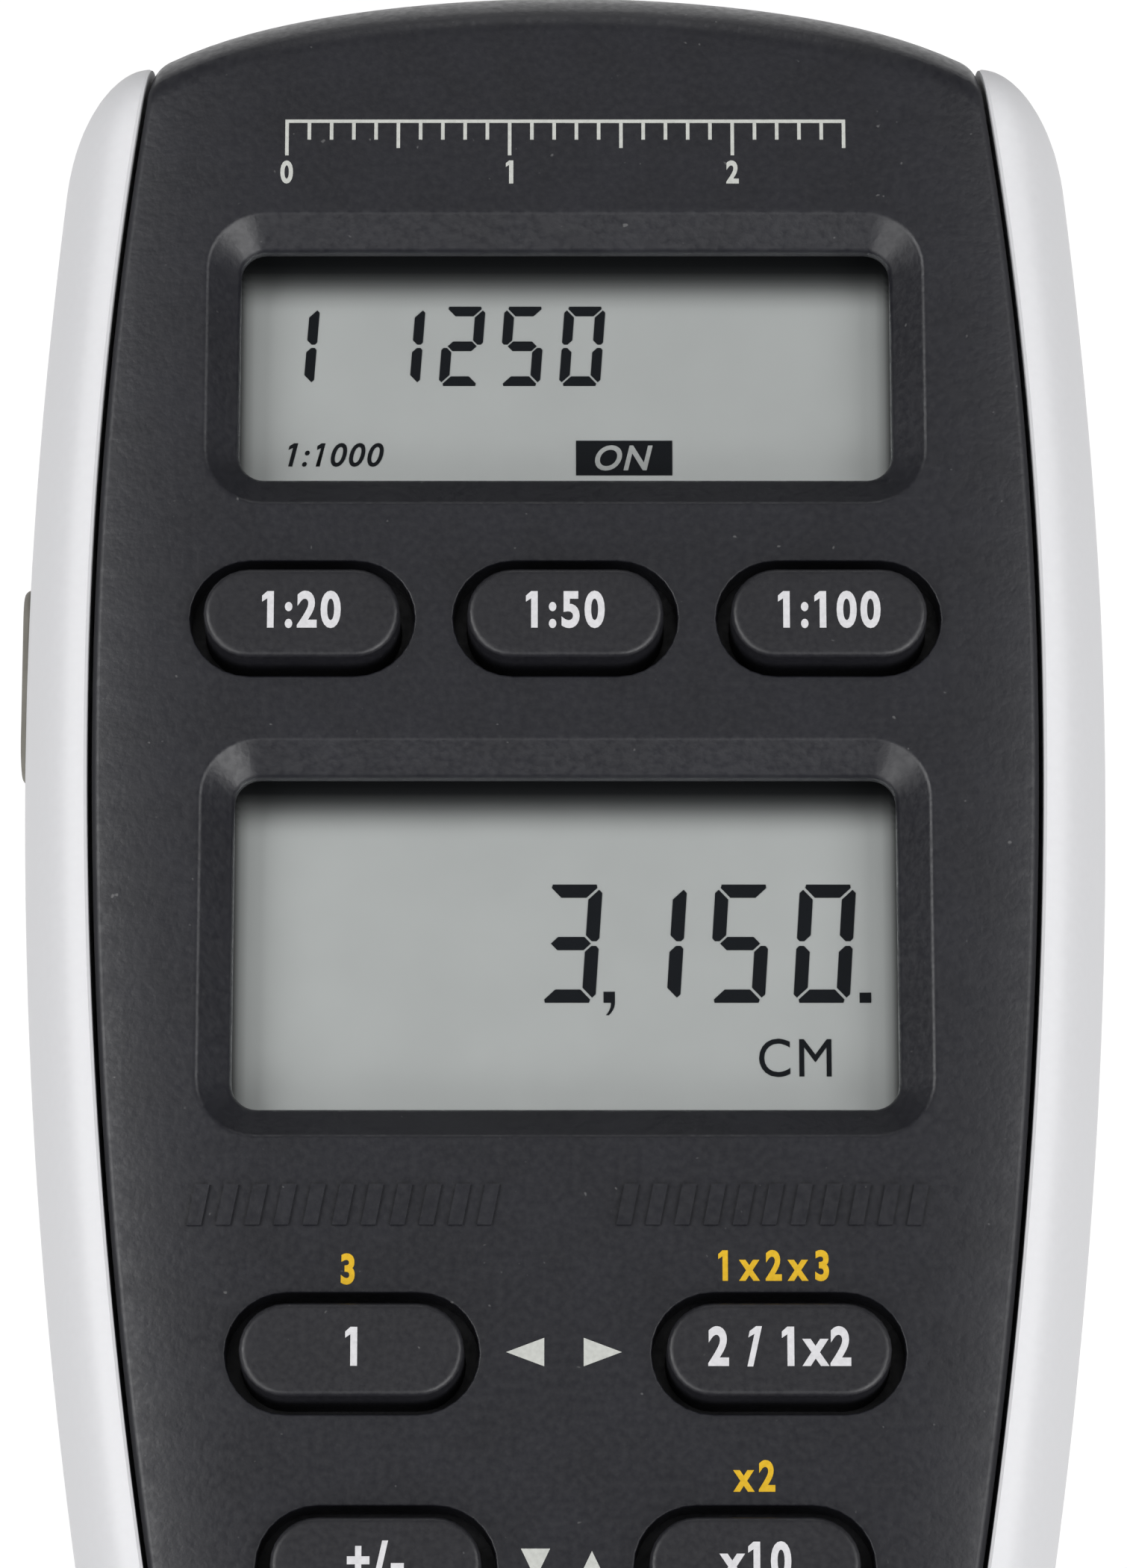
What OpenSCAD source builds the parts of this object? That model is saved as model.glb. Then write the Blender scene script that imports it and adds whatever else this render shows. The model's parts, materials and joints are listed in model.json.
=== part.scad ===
// Hand-held digital plan measure. It lies on its back, with its face up, its displays towards +Y
// and its measuring wheel at the -Y end. The origin is on the flat back, at half of the length.

/* [Body] */
// Length from the top edge to the rim of the measuring wheel
body_length = 183; // [178:1:195]
// Width of the dark covers where they are widest
cover_width = 41.7; // [41.4:0.1:45]
// Width of the bright rail on each side of the covers
rail_width = 3.35; // [3.1:0.05:4]
// Thickness from the flat back to the face
body_thickness = 16; // [16:0.5:19]
// Height of the joint between the covers above the back
parting_height = 7; // [6.8:0.1:7.2]
// Thickness of the covers' side walls
side_wall = 1.6; // [1.3:0.1:1.8]
// Thickness of the face and of the back
face_wall = 1.8; // [1.6:0.1:2]
// Distance from the top edge down to the widest line
widest_from_top = 33.5; // [31:0.5:36]
// Width of the covers where the nose starts
nose_width = 13; // [12.6:0.1:15]
// Length of the rounded nose below the rails
nose_length = 8.5; // [8:0.1:9.5]
// Drop of the curved top edge from its middle to its corners
crown_drop = 3.3; // [2.8:0.05:4]
// Gap between the covers and each rail
seam_gap = 0.2; // [0.15:0.05:0.3]

/* [Displays] */
// Width of both display windows
window_width = 29; // [26:0.1:29.2]
// Height of the upper window
upper_window_height = 10.7; // [9.5:0.1:11.5]
// Height of the lower window
lower_window_height = 14.9; // [13:0.1:15.6]
// Corner radius of the windows
window_corner = 1.1; // [0.8:0.1:1.6]
// Depth of the slope around each window
recess_depth = 1.25; // [1:0.05:1.4]
// Width of the recess's slope, seen from the front
recess_slope = 1.5; // [1.3:0.1:1.7]
// Thickness of the clear windows
window_thickness = 1; // [0.8:0.1:1.2]
// Thickness of the liquid crystal glass
glass_thickness = 2.2; // [1.8:0.1:2.4]
// Distance from the top edge to the upper recess
top_margin = 11.65; // [11:0.05:12.5]

/* [Keys] */
// Width of the three function keys' openings
function_key_width = 9.9; // [8.8:0.1:10.2]
// Distance between the function keys' middles
function_key_pitch = 11.6; // [11.5:0.1:12]
// Width of the first pair of lower keys' openings
first_pair_width = 10.9; // [10:0.1:11.1]
// Distance of the first pair's middles from the centre line
first_pair_offset = 9.15; // [9:0.05:9.4]
// Loss of width from one pair of keys to the next
pair_width_step = 0.65; // [0.5:0.05:0.8]
// Shift towards the centre line from one pair to the next
pair_offset_step = 1.1; // [0.9:0.05:1.15]
// Distance between the rows of paired keys
row_pitch = 9.25; // [9:0.05:9.6]
// Height of every key's opening
key_height = 5.3; // [5:0.1:5.5]
// Gap between a key and the edge of its opening
key_gap = 0.65; // [0.4:0.05:0.7]
// Height of the keys above the face
key_rise = 1; // [0.9:0.05:1.2]
// Travel of a key
key_travel = 0.7; // [0.5:0.05:0.8]
// Gap from a display's recess to the function keys
panel_gap = 2.7; // [2.6:0.05:3.2]
// Plain band under the lower display
plain_band = 7.05; // [6.6:0.05:7.6]

/* [Side button] */
// Length of the side button
side_button_length = 9; // [8:0.1:10]
// Height of the side button across the rail
side_button_height = 3.4; // [3:0.1:3.8]
// Height of the side button beyond the rail
side_button_rise = 0.4; // [0.35:0.05:0.5]
// Travel of the side button
side_button_travel = 0.35; // [0.25:0.05:0.35]

/* [Measuring wheel] */
// Diameter of the wheel over its tyre
wheel_diameter = 14; // [13:0.1:15]
// Thickness of the wheel's hub
wheel_thickness = 3; // [2.6:0.1:3.2]
// Thickness of the rubber tyre from the hub to the tread
tyre_depth = 1.4; // [1:0.1:1.6]
// Diameter of the axle
axle_diameter = 2; // [1.6:0.1:2.2]
// Running clearance between the axle and its bushes
axle_clearance = 0.05; // [0.03:0.01:0.08]
// Outer diameter of the bushes
bush_diameter = 3.6; // [3.4:0.1:4]
// Diameter of the slotted disc
disc_diameter = 10.4; // [9.6:0.1:10.8]
// Number of slots in the disc
disc_slots = 24; // [16:1:28]

/* [Battery] */
// Diameter of the coin cell
cell_diameter = 20; // [16:0.5:20.5]
// Thickness of the coin cell
cell_thickness = 3.2; // [2:0.1:3.2]
// Quarter turn that frees the battery door, in degrees
door_turn = 40; // [30:1:45]

/* [Fasteners and board] */
// Diameter of the cover screws
screw_diameter = 2; // [1.8:0.1:2.2]
// Diameter of the screws' heads
screw_head_diameter = 3.8; // [3.4:0.1:4]
// Diameter of the screw bosses
boss_diameter = 4.6; // [4.4:0.1:4.8]
// Distance of the two upper screws from the centre line
screw_offset = 12; // [10:0.5:12.5]
// Thickness of the circuit board
board_thickness = 1.2; // [1:0.1:1.4]

/* [Hidden] */
$fn = 48;

// Colours as the photograph shows them, and as such pieces have them inside
dark_plastic = [0.16, 0.16, 0.18];
key_rubber = [0.13, 0.13, 0.15];
bright_metal = [0.86, 0.86, 0.88];
display_grey = [0.66, 0.69, 0.67];
clear_plastic = [0.9, 0.92, 0.92, 0.4];
white_plastic = [0.92, 0.92, 0.9];
strip_rubber = [0.85, 0.55, 0.58];

// Small clearances that every fit uses
fit = 0.1;
touch = 0.05;
over = 1;

// Main lines along the body
top_y = body_length / 2;
wheel_y = wheel_diameter / 2 - body_length / 2;
wheel_z = body_thickness / 2;
nose_y = wheel_y + 4.5;
widest_y = top_y - widest_from_top;
cover_half = cover_width / 2;
nose_half = nose_width / 2;
corner_y = top_y - crown_drop;

// The flanks are an S-curve: a head arc, then a waist arc that ends almost straight at the nose
head_radius = 190;
turn_share = 0.35;
nose_slope = 0.026;
flank_length = widest_y - nose_y;
turn_y = widest_y - turn_share * flank_length;
turn_slope = 2 * (cover_half - nose_half) / flank_length - nose_slope * (1 - turn_share);
head_bend = turn_slope / (turn_share * flank_length);
waist_bend = (turn_slope - nose_slope) / ((1 - turn_share) * flank_length);

// Rounding of the covers' edges: along the seams, and at the top and nose ends
seam_round = 0.35;
end_round = 3;
end_round_height = 5;
end_wall = side_wall + 0.6;
corner_trim = 0.6;
crown_share = 0.78;
nose_power = 2.2;

// Rails: how they bulge, taper and hook into the covers
rail_height = body_thickness - 0.3;
rail_power = 2.3;
rail_flare = 0.45;
rail_top_taper = 5.5;
rail_nose_taper = 22;
tab_width = 4;
tab_height = 1.2;
tab_reach = 0.6;

// Displays, from the face down to the board
slope_z = body_thickness - recess_depth;
window_lip = 1.35;
window_top = slope_z - window_lip;
window_base = window_top - window_thickness;
window_margin = 1.4;
window_rim = 1.1;
glass_top = window_base - 0.3;
glass_base = glass_top - glass_thickness;
glass_side_margin = 1.35;
glass_end_margin = 2.3;
frame_wall = 1.1;
frame_shelf = 0.9;
frame_top = glass_top - 0.4;
upper_recess_height = upper_window_height + 2 * recess_slope;
lower_recess_height = lower_window_height + 2 * recess_slope;
upper_display_y = top_y - top_margin - upper_recess_height / 2;
function_key_y = upper_display_y - upper_recess_height / 2 - panel_gap - key_height / 2;
lower_display_y = function_key_y - key_height / 2 - panel_gap - lower_recess_height / 2;
first_row_y = lower_display_y - lower_recess_height / 2 - plain_band - key_height / 2;

// Board and key mats
board_top = parting_height + 0.2;
board_base = board_top - board_thickness;
board_inset = side_wall + 0.5;
board_end_y = wheel_y + wheel_diameter / 2 + 0.6;
mat_base = board_top + touch;
mat_thickness = 0.8;
dome_height = key_travel + 0.5;
dome_foot = 2.5;
dome_head = 1.7;
dome_skin = 0.35;
dome_top = mat_base + mat_thickness + dome_height;
post_radius = 1.6;
flange_overlap = 0.5;
flange_thickness = 0.7;
flange_top = body_thickness - face_wall - touch;
key_round = 0.35;
rows = 3;

// Side button and its switch
side_button_y = function_key_y - 1;
side_button_z = parting_height + 1.7;
button_tip_x = -(cover_half + rail_width + side_button_rise);
flange_depth = 1.2;
flange_reach = 0.5;
button_flange_x = -(cover_half + seam_gap + flange_depth);
switch_x = -(cover_half - side_wall - 0.8);
switch_depth = 1.6;
switch_length = 4;
switch_stub = 0.4;
plunger_half_width = 1.4;
plunger_half_height = 0.9;

// Wheel stack, along its upright axle
wheel_radius = wheel_diameter / 2;
hub_radius = wheel_radius - tyre_depth;
axle_radius = axle_diameter / 2;
slot_gap = 0.6;
disc_z = wheel_z + wheel_thickness / 2 + touch;
disc_thickness = 0.3;
axle_boss_radius = bush_diameter / 2 + 1.2;
bush_seat = 0.4;
washer_room = 0.5;
washer_radius = axle_radius + 1;
front_bush_base = disc_z + disc_thickness + washer_room;
front_bush_top = body_thickness - face_wall - bush_seat;
rear_bush_base = face_wall + bush_seat;
rear_bush_top = wheel_z - wheel_thickness / 2 - slot_gap;

// Battery: a round door holds the cell against the board's contacts, and its lugs pass a ledge
door_y = lower_display_y;
cell_radius = cell_diameter / 2;
door_cup = cell_radius + 0.3;
door_cup_wall = 1;
door_gap = 0.15;
ledge_radius = door_cup + door_cup_wall + door_gap;
door_radius = ledge_radius + 0.85;
door_thickness = face_wall - 0.6;
cup_top = door_thickness + 1.9;
lug_radius = door_radius - 0.1;
lug_half_angle = 11;
lug_count = 3;
lug_height = 0.7;
cell_base = door_thickness + touch;

// Screws: two under the top edge, one between the keys, two in the handle
screw_radius = screw_diameter / 2;
head_radius_of_screw = screw_head_diameter / 2;
head_height = 1.3;
head_sink = 0.3;
boss_radius = boss_diameter / 2;
screw_tip = body_thickness - face_wall - 1.4;
handle_screw_gap = 20;
nose_screw_gap = 24;
upper_screw_y = upper_display_y + upper_window_height / 2 + glass_end_margin + fit + frame_wall
    + 0.2 + boss_radius;
screw_places = [
    [-screw_offset, upper_screw_y], [screw_offset, upper_screw_y],
    [0, first_row_y - row_pitch / 2],
    [0, first_row_y - row_pitch * (rows - 1) - handle_screw_gap],
    [0, nose_y + nose_screw_gap]
];

// Half of the covers' width at a place along the body
function seam_half(y) =
    y >= widest_y ? cover_half - pow(y - widest_y, 2) / (2 * head_radius)
    : y >= turn_y ? cover_half - head_bend * pow(widest_y - y, 2) / 2
    : cover_half - head_bend * pow(widest_y - turn_y, 2) / 2
        - turn_slope * (turn_y - y) + waist_bend * pow(turn_y - y, 2) / 2;

// A point on the curve from a to b that bends towards c
function bend_point(a, c, b, t) = a * pow(1 - t, 2) + c * 2 * t * (1 - t) + b * t * t;

// The covers' outline, anticlockwise, drawn in by side along the flanks and by end at both ends
flank_steps = 26;
crown_steps = 16;
corner_steps = 3;
nose_steps = 14;
function crown(u) = crown_drop * (crown_share * pow(u, 2) + (1 - crown_share) * pow(u, 6));
function right_half(side, end) =
    let (
        corner = [seam_half(corner_y - end) - side, corner_y - end],
        last = [seam_half(corner[1] - corner_trim) - side, corner[1] - corner_trim],
        u = 1 - corner_trim / corner[0],
        first = [corner[0] * u, top_y - end - crown(u)],
        tip = nose_length - end,
        half = nose_half - side
    )
    [
        for (i = [1 : nose_steps]) let (a = 90 * i / nose_steps)
            [half * pow(sin(a), 2 / nose_power), nose_y - tip * pow(cos(a), 2 / nose_power)],
        for (i = [1 : flank_steps]) let (y = nose_y + (last[1] - nose_y) * i / flank_steps)
            [seam_half(y) - side, y],
        for (i = [1 : corner_steps]) bend_point(last, corner, first, i / corner_steps),
        for (i = [1 : crown_steps / 2 - 1]) let (v = u * (1 - 2 * i / crown_steps))
            [corner[0] * v, top_y - end - crown(v)]
    ];
function cover_outline(side, end) =
    let (right = right_half(side, end), last = len(right) - 1)
    [
        [0, nose_y - nose_length + end],
        each right,
        [0, top_y - end],
        for (i = [last : -1 : 0]) [-right[i][0], right[i][1]]
    ];

// Rings for lofts: an outline lifted to a height
function lifted(outline, z) = [for (p = outline) [p[0], p[1], z]];
function round_rect(width, height, radius, steps = 6) = [
    for (q = [0 : 3]) for (i = [0 : steps])
        let (
            a = 90 * (q + i / steps),
            cx = (q == 0 || q == 3 ? 1 : -1) * (width / 2 - radius),
            cy = (q < 2 ? 1 : -1) * (height / 2 - radius)
        )
        [cx + radius * cos(a), cy + radius * sin(a)]
];

// A closed skin through rings of equal length, each anticlockwise seen from the last ring's side
module loft(rings) {
    n = len(rings[0]);
    levels = len(rings);
    points = [for (ring = rings) each ring];
    skin = [
        for (k = [0 : levels - 2]) for (i = [0 : n - 1])
            let (a = k * n + i, b = k * n + (i + 1) % n)
            each [[a, a + n, b + n], [a, b + n, b]]
    ];
    base = [for (i = [0 : n - 1]) i];
    lid = [for (i = [n - 1 : -1 : 0]) (levels - 1) * n + i];
    polyhedron(points, concat(skin, [base, lid]));
}

// How far the covers draw in at a depth below the face, or above the back
function edge_in(depth, radius, height) =
    depth >= height ? 0 : radius * (1 - sqrt(1 - pow(1 - depth / height, 2)));
cover_levels = [for (a = [90, 74, 58, 40, 20, 0]) end_round_height * (1 - sin(a))];

// The outer form of a cover: the back's grows from z = 0, and the front's is its mirror image
module cover_body(height) {
    difference() {
        loft([
            for (z = concat(cover_levels, [height + over]))
                lifted(
                    cover_outline(
                        edge_in(z, seam_round, seam_round),
                        edge_in(z, end_round, end_round_height)
                    ),
                    z
                )
        ]);
        translate([-cover_width, -body_length, height])
            cube([2 * cover_width, 2 * body_length, 2 * over]);
    }
}
module cover_cavity(low, high, room = 0) {
    translate([0, 0, low])
        linear_extrude(high - low) polygon(cover_outline(side_wall + room, end_wall + room));
}

// A flat shape with two round ends, as wide and as high as said
module stadium(width, height) {
    square([width - height, height], center = true);
    for (side = [-1, 1]) translate([side * (width - height) / 2, 0]) circle(d = height);
}
module rounded_plate(width, height, radius, thickness) {
    linear_extrude(thickness) polygon(round_rect(width, height, radius));
}
module tube_at(place, outer, inner, low, high) {
    translate([place[0], place[1], low]) difference() {
        cylinder(r = outer, h = high - low);
        translate([0, 0, -over]) cylinder(r = inner, h = high - low + 2 * over);
    }
}

// Places of the keys: [x, y, width of the opening]
function function_key_at(i) = [i * function_key_pitch, function_key_y, function_key_width];
function pair_key_at(row, side) = [
    side * (first_pair_offset - row * pair_offset_step),
    first_row_y - row * row_pitch,
    first_pair_width - row * pair_width_step
];
function all_keys() = [
    for (i = [-1 : 1]) function_key_at(i),
    for (row = [0 : rows - 1]) for (side = [-1, 1]) pair_key_at(row, side)
];

// The sloping recess, the straight lip and the pocket for one window
module window_cut(y, height) {
    outer_width = window_width + 2 * recess_slope;
    outer_height = height + 2 * recess_slope;
    outer_corner = window_corner + recess_slope;
    rise = 0.5;
    grow = recess_slope * rise / recess_depth;
    translate([0, y, 0]) {
        loft([
            lifted(round_rect(window_width, height, window_corner), slope_z),
            lifted(
                round_rect(outer_width + 2 * grow, outer_height + 2 * grow, outer_corner + grow),
                body_thickness + rise
            )
        ]);
        translate([0, 0, window_top - over])
            rounded_plate(window_width, height, window_corner, window_lip + over + touch);
        translate([0, 0, window_base - over])
            rounded_plate(
                window_width + 2 * (window_margin + fit), height + 2 * (window_margin + fit),
                window_corner, window_thickness + over
            );
    }
}
module window_block(y, height) {
    reach = 2 * (window_margin + fit + window_rim);
    translate([0, y, window_base])
        rounded_plate(
            window_width + reach, height + reach, window_corner + window_rim,
            body_thickness - face_wall - window_base + touch
        );
}

// The slot that the wheel turns in, through both covers
module wheel_slot() {
    half = wheel_thickness / 2 + slot_gap;
    reach = wheel_radius + 2;
    translate([-reach, wheel_y - 2 * wheel_radius, wheel_z - half])
        cube([2 * reach, 3 * wheel_radius + slot_gap, 2 * half]);
}

// Places along the rails for the tabs that hook into the covers
tab_places = [for (share = [0.03, 0.3, 0.52, 0.74, 0.93]) corner_y - 5 - share * (corner_y - nose_y)];
module tab_boxes(extra, low) {
    width = tab_width + 2 * extra;
    high = board_top + fit + tab_height + extra;
    for (y = tab_places) {
        inner = seam_half(y) - side_wall - tab_reach - extra;
        outer = seam_half(y) + seam_gap + 0.6;
        translate([inner, y - width / 2, low]) cube([outer - inner, width, high - low]);
    }
}

module screw_boss(place, low, high, bore) {
    tube_at(place, boss_radius, bore, low, high);
}

module front_cover() {
    color(dark_plastic)
        difference() {
            union() {
                difference() {
                    translate([0, 0, body_thickness]) mirror([0, 0, 1])
                        cover_body(body_thickness - parting_height);
                    cover_cavity(parting_height - over, body_thickness - face_wall);
                }
                intersection() {
                    union() {
                        window_block(upper_display_y, upper_window_height);
                        window_block(lower_display_y, lower_window_height);
                    }
                    cover_cavity(parting_height, body_thickness);
                }
                for (place = screw_places)
                    screw_boss(
                        place, board_top, body_thickness - face_wall + touch, screw_radius + 0.02
                    );
                translate([0, wheel_y, front_bush_base])
                    cylinder(
                        r = axle_boss_radius,
                        h = body_thickness - face_wall + touch - front_bush_base
                    );
            }
            translate([0, wheel_y, wheel_z])
                cylinder(r = bush_diameter / 2 + 0.02, h = front_bush_top - wheel_z);
            translate([0, wheel_y, wheel_z])
                cylinder(r = washer_radius + fit, h = front_bush_base - wheel_z);
            window_cut(upper_display_y, upper_window_height);
            window_cut(lower_display_y, lower_window_height);
            for (key = all_keys())
                translate([key[0], key[1], body_thickness - face_wall - over])
                    linear_extrude(face_wall + 2 * over) stadium(key[2], key_height);
            wheel_slot();
            for (side = [0, 1]) mirror([side, 0, 0]) tab_boxes(fit, parting_height - over);
            translate([
                -cover_half - over, side_button_y - plunger_half_width - 0.3, parting_height - over
            ])
                cube([
                    side_wall + over + 0.4, 2 * plunger_half_width + 0.6,
                    side_button_z - parting_height + over + plunger_half_height + 0.3
                ]);
        }
}

// A ring's sector, from inside the door's cup out to a reach
module lug_sector(half_angle, reach, height) {
    steps = 6;
    root = door_cup + door_cup_wall / 2;
    linear_extrude(height)
        polygon([
            for (i = [0 : steps]) let (a = half_angle * (2 * i / steps - 1)) reach * [cos(a), sin(a)],
            for (i = [steps : -1 : 0]) let (a = half_angle * (2 * i / steps - 1))
                root * [cos(a), sin(a)]
        ]);
}
module door_opening() {
    translate([0, door_y, -over]) {
        cylinder(r = door_radius + door_gap, h = door_thickness + touch + over);
        cylinder(r = ledge_radius, h = face_wall + 2 * over);
        for (i = [0 : lug_count - 1])
            rotate(360 * i / lug_count - door_turn)
                lug_sector(lug_half_angle + 1, door_radius + door_gap / 2, face_wall + 2 * over);
    }
}

module rear_cover() {
    color(dark_plastic)
        difference() {
            union() {
                difference() {
                    cover_body(parting_height);
                    cover_cavity(face_wall, parting_height + over);
                }
                for (place = screw_places)
                    translate([place[0], place[1], face_wall - touch])
                        cylinder(r = boss_radius, h = board_base - face_wall + touch);
                translate([0, wheel_y, face_wall - touch])
                    cylinder(r = axle_boss_radius, h = rear_bush_top - face_wall + touch);
            }
            door_opening();
            wheel_slot();
            translate([0, wheel_y, rear_bush_base])
                cylinder(r = bush_diameter / 2 + 0.02, h = wheel_z);
            for (place = screw_places)
                translate([place[0], place[1], -over]) {
                    cylinder(r = screw_radius + 0.15, h = parting_height + 2 * over);
                    cylinder(r = head_radius_of_screw + 0.2, h = head_height + head_sink + over);
                }
        }
}

// How wide and how high the rail is along the body: a flare near the top, and two tapered ends
rail_tip_y = corner_y - 0.2;
rail_tail_y = nose_y - 1;
function rail_flare_at(y) = max(0, (y - widest_y) / (rail_tip_y - widest_y));
function rail_up(y) = max(0, (y - rail_tip_y + rail_top_taper) / rail_top_taper);
function rail_down(y) = max(0, (rail_tail_y + rail_nose_taper - y) / rail_nose_taper);
function fade(u, power) = pow(1 - pow(u, power), 1 / power);
function rail_bulge(y) =
    (rail_width - seam_gap + rail_flare * pow(rail_flare_at(y), 3))
        * fade(rail_up(y), 2.2) * fade(rail_down(y), 2.2);
function rail_half_height(y) =
    rail_height / 2 * fade(rail_up(y), 4) * fade(rail_down(y), 5);
rail_steps = 46;
rail_section_steps = 12;
function rail_station(i) =
    let (middle = (rail_tip_y + rail_tail_y) / 2, half = (rail_tip_y - rail_tail_y) / 2)
    middle - half * 0.9995 * cos(180 * i / rail_steps);
function rail_section(y) =
    let (x = seam_half(y) + seam_gap, bulge = rail_bulge(y), half = rail_half_height(y))
    [
        for (i = [0 : rail_section_steps])
            let (a = 180 * i / rail_section_steps - 90, c = cos(a), s = sin(a))
            [
                x + bulge * pow(max(c, 0), 2 / rail_power),
                y,
                wheel_z + half * sign(s) * pow(abs(s), 2 / rail_power)
            ]
    ];
module right_rail() {
    loft([for (i = [rail_steps : -1 : 0]) rail_section(rail_station(i))]);
    tab_boxes(0, board_top + fit);
}
module left_side_rail() {
    slot_length = side_button_length + 2 * fit;
    slot_height = side_button_height + 2 * fit;
    pocket_length = slot_length + 2 * flange_reach + fit;
    pocket_height = slot_height + 2 * flange_reach + fit;
    color(bright_metal)
        difference() {
            mirror([1, 0, 0]) right_rail();
            translate([button_tip_x - over, side_button_y, side_button_z])
                rotate([90, 0, 90]) linear_extrude(rail_width + side_button_rise + 2 * over)
                    stadium(slot_length, slot_height);
            translate([
                button_flange_x - fit, side_button_y - pocket_length / 2,
                side_button_z - pocket_height / 2
            ])
                cube([flange_depth + fit + over, pocket_length, pocket_height]);
        }
}
module right_side_rail() {
    color(bright_metal) right_rail();
}

// A clear window, its display glass, and the frame and strip that hold the glass to the board
module display_window(y, height) {
    color(clear_plastic) translate([0, y, window_base])
        rounded_plate(
            window_width + 2 * window_margin, height + 2 * window_margin,
            window_corner, window_thickness - touch
        );
}
function glass_width() = window_width + 2 * glass_side_margin;
function glass_height(height) = height + 2 * glass_end_margin;
module display_glass(y, height) {
    ledge = 1.3;
    color(display_grey) translate([0, y, glass_base]) {
        translate([-glass_width() / 2, -glass_height(height) / 2 + ledge, 0])
            cube([glass_width(), glass_height(height) - ledge, glass_thickness]);
        translate([-glass_width() / 2, -glass_height(height) / 2, glass_thickness / 2])
            cube([glass_width(), ledge + touch, glass_thickness / 2]);
    }
}
module display_frame(y, height) {
    inner_width = glass_width() + 2 * fit;
    inner_height = glass_height(height) + 2 * fit;
    outer_width = inner_width + 2 * frame_wall;
    outer_height = inner_height + 2 * frame_wall;
    strip_width = 3;
    color(white_plastic)
        intersection() {
            translate([0, y, 0]) difference() {
                translate([-outer_width / 2, -outer_height / 2, board_top])
                    cube([outer_width, outer_height, frame_top - board_top]);
                translate([-inner_width / 2, -inner_height / 2, glass_base - touch])
                    cube([inner_width, inner_height, glass_thickness + over]);
                translate([
                    -inner_width / 2 + frame_shelf, -inner_height / 2 + strip_width + frame_shelf,
                    board_top - over
                ])
                    cube([
                        inner_width - 2 * frame_shelf, inner_height - strip_width - 2 * frame_shelf,
                        glass_base
                    ]);
                translate([-inner_width / 2 + frame_shelf, -inner_height / 2, board_top - over])
                    cube([inner_width - 2 * frame_shelf, strip_width, glass_base]);
            }
            cover_cavity(board_top - over, frame_top + over, fit);
        }
}
module contact_strip(y, height) {
    width = glass_width() - 2 * frame_shelf - 0.4;
    depth = 1;
    color(strip_rubber) translate([-width / 2, y - glass_height(height) / 2 + 0.1, board_top + touch])
        cube([width, depth, glass_base + glass_thickness / 2 - board_top - 2 * touch]);
}

// The board follows the covers' outline and stops short of the wheel
module circuit_board() {
    color([0.1, 0.35, 0.2])
        translate([0, 0, board_base])
        difference() {
            linear_extrude(board_thickness)
                intersection() {
                    polygon(cover_outline(board_inset, board_inset + 0.9));
                    translate([-cover_width, board_end_y]) square([2 * cover_width, body_length]);
                }
            for (place = screw_places)
                translate([place[0], place[1], -over])
                    cylinder(r = screw_radius + 0.2, h = board_thickness + 2 * over);
        }
}
chip_y = first_row_y - row_pitch - 6;
crystal_drop = 10;
capacitor_drop = 16;
module main_chip() {
    size = 10;
    thickness = 1.4;
    color([0.1, 0.1, 0.1])
        translate([-size / 2, chip_y - size / 2, board_base - thickness - touch])
        cube([size, size, thickness]);
}
module crystal() {
    radius = 1;
    length = 6;
    color([0.8, 0.8, 0.8])
        translate([0, chip_y - crystal_drop, board_base - radius - touch])
        rotate([0, 90, 0]) cylinder(r = radius, h = length, center = true);
}
module board_capacitors() {
    size = [1.2, 2, 1.1];
    pitch = 3;
    color([0.7, 0.55, 0.35])
        for (i = [-2 : 2])
            translate([i * pitch - size[0] / 2, chip_y - capacitor_drop, board_base - size[2] - touch])
                cube(size);
}

// A rubber mat with a hollow dome under each key
module dome(place) {
    inner = dome_foot - dome_skin;
    head_inner = dome_head - dome_skin;
    cap = 0.5;
    translate([place[0], place[1], mat_base])
        rotate_extrude()
        polygon([
            [inner, 0], [dome_foot, 0], [dome_foot, mat_thickness],
            [dome_head, mat_thickness + dome_height], [0, mat_thickness + dome_height],
            [0, mat_thickness + dome_height - cap], [head_inner, mat_thickness + dome_height - cap],
            [inner, mat_thickness - 0.2]
        ]);
}
module key_mat(outline_low, outline_high, half_width, keys, hole) {
    difference() {
        translate([-half_width, outline_low, mat_base])
            cube([2 * half_width, outline_high - outline_low, mat_thickness]);
        for (key = keys)
            translate([key[0], key[1], mat_base - over])
                cylinder(r = dome_foot - touch, h = mat_thickness + 2 * over);
        if (len(hole) > 0)
            translate([hole[0], hole[1], mat_base - over])
                cylinder(r = boss_radius + 0.3, h = mat_thickness + 2 * over);
    }
    for (key = keys) dome(key);
}
module upper_key_mat() {
    half = key_height / 2 + 0.4;
    switch_room = switch_length + 2 * fit;
    color(key_rubber)
        difference() {
            key_mat(
                function_key_y - half, function_key_y + half,
                function_key_pitch + dome_foot + 1, [for (i = [-1 : 1]) function_key_at(i)], []
            );
            translate([switch_x - over, side_button_y - switch_room / 2, board_top])
                cube([over + switch_stub + switch_depth + fit, switch_room, mat_thickness + over]);
        }
}
module lower_key_mat() {
    margin = 3;
    color(key_rubber)
        key_mat(
            first_row_y - (rows - 1) * row_pitch - margin, first_row_y + margin,
            first_pair_offset + dome_foot + 0.4,
            [for (row = [0 : rows - 1]) for (side = [-1, 1]) pair_key_at(row, side)],
            [0, first_row_y - row_pitch / 2]
        );
}

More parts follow.
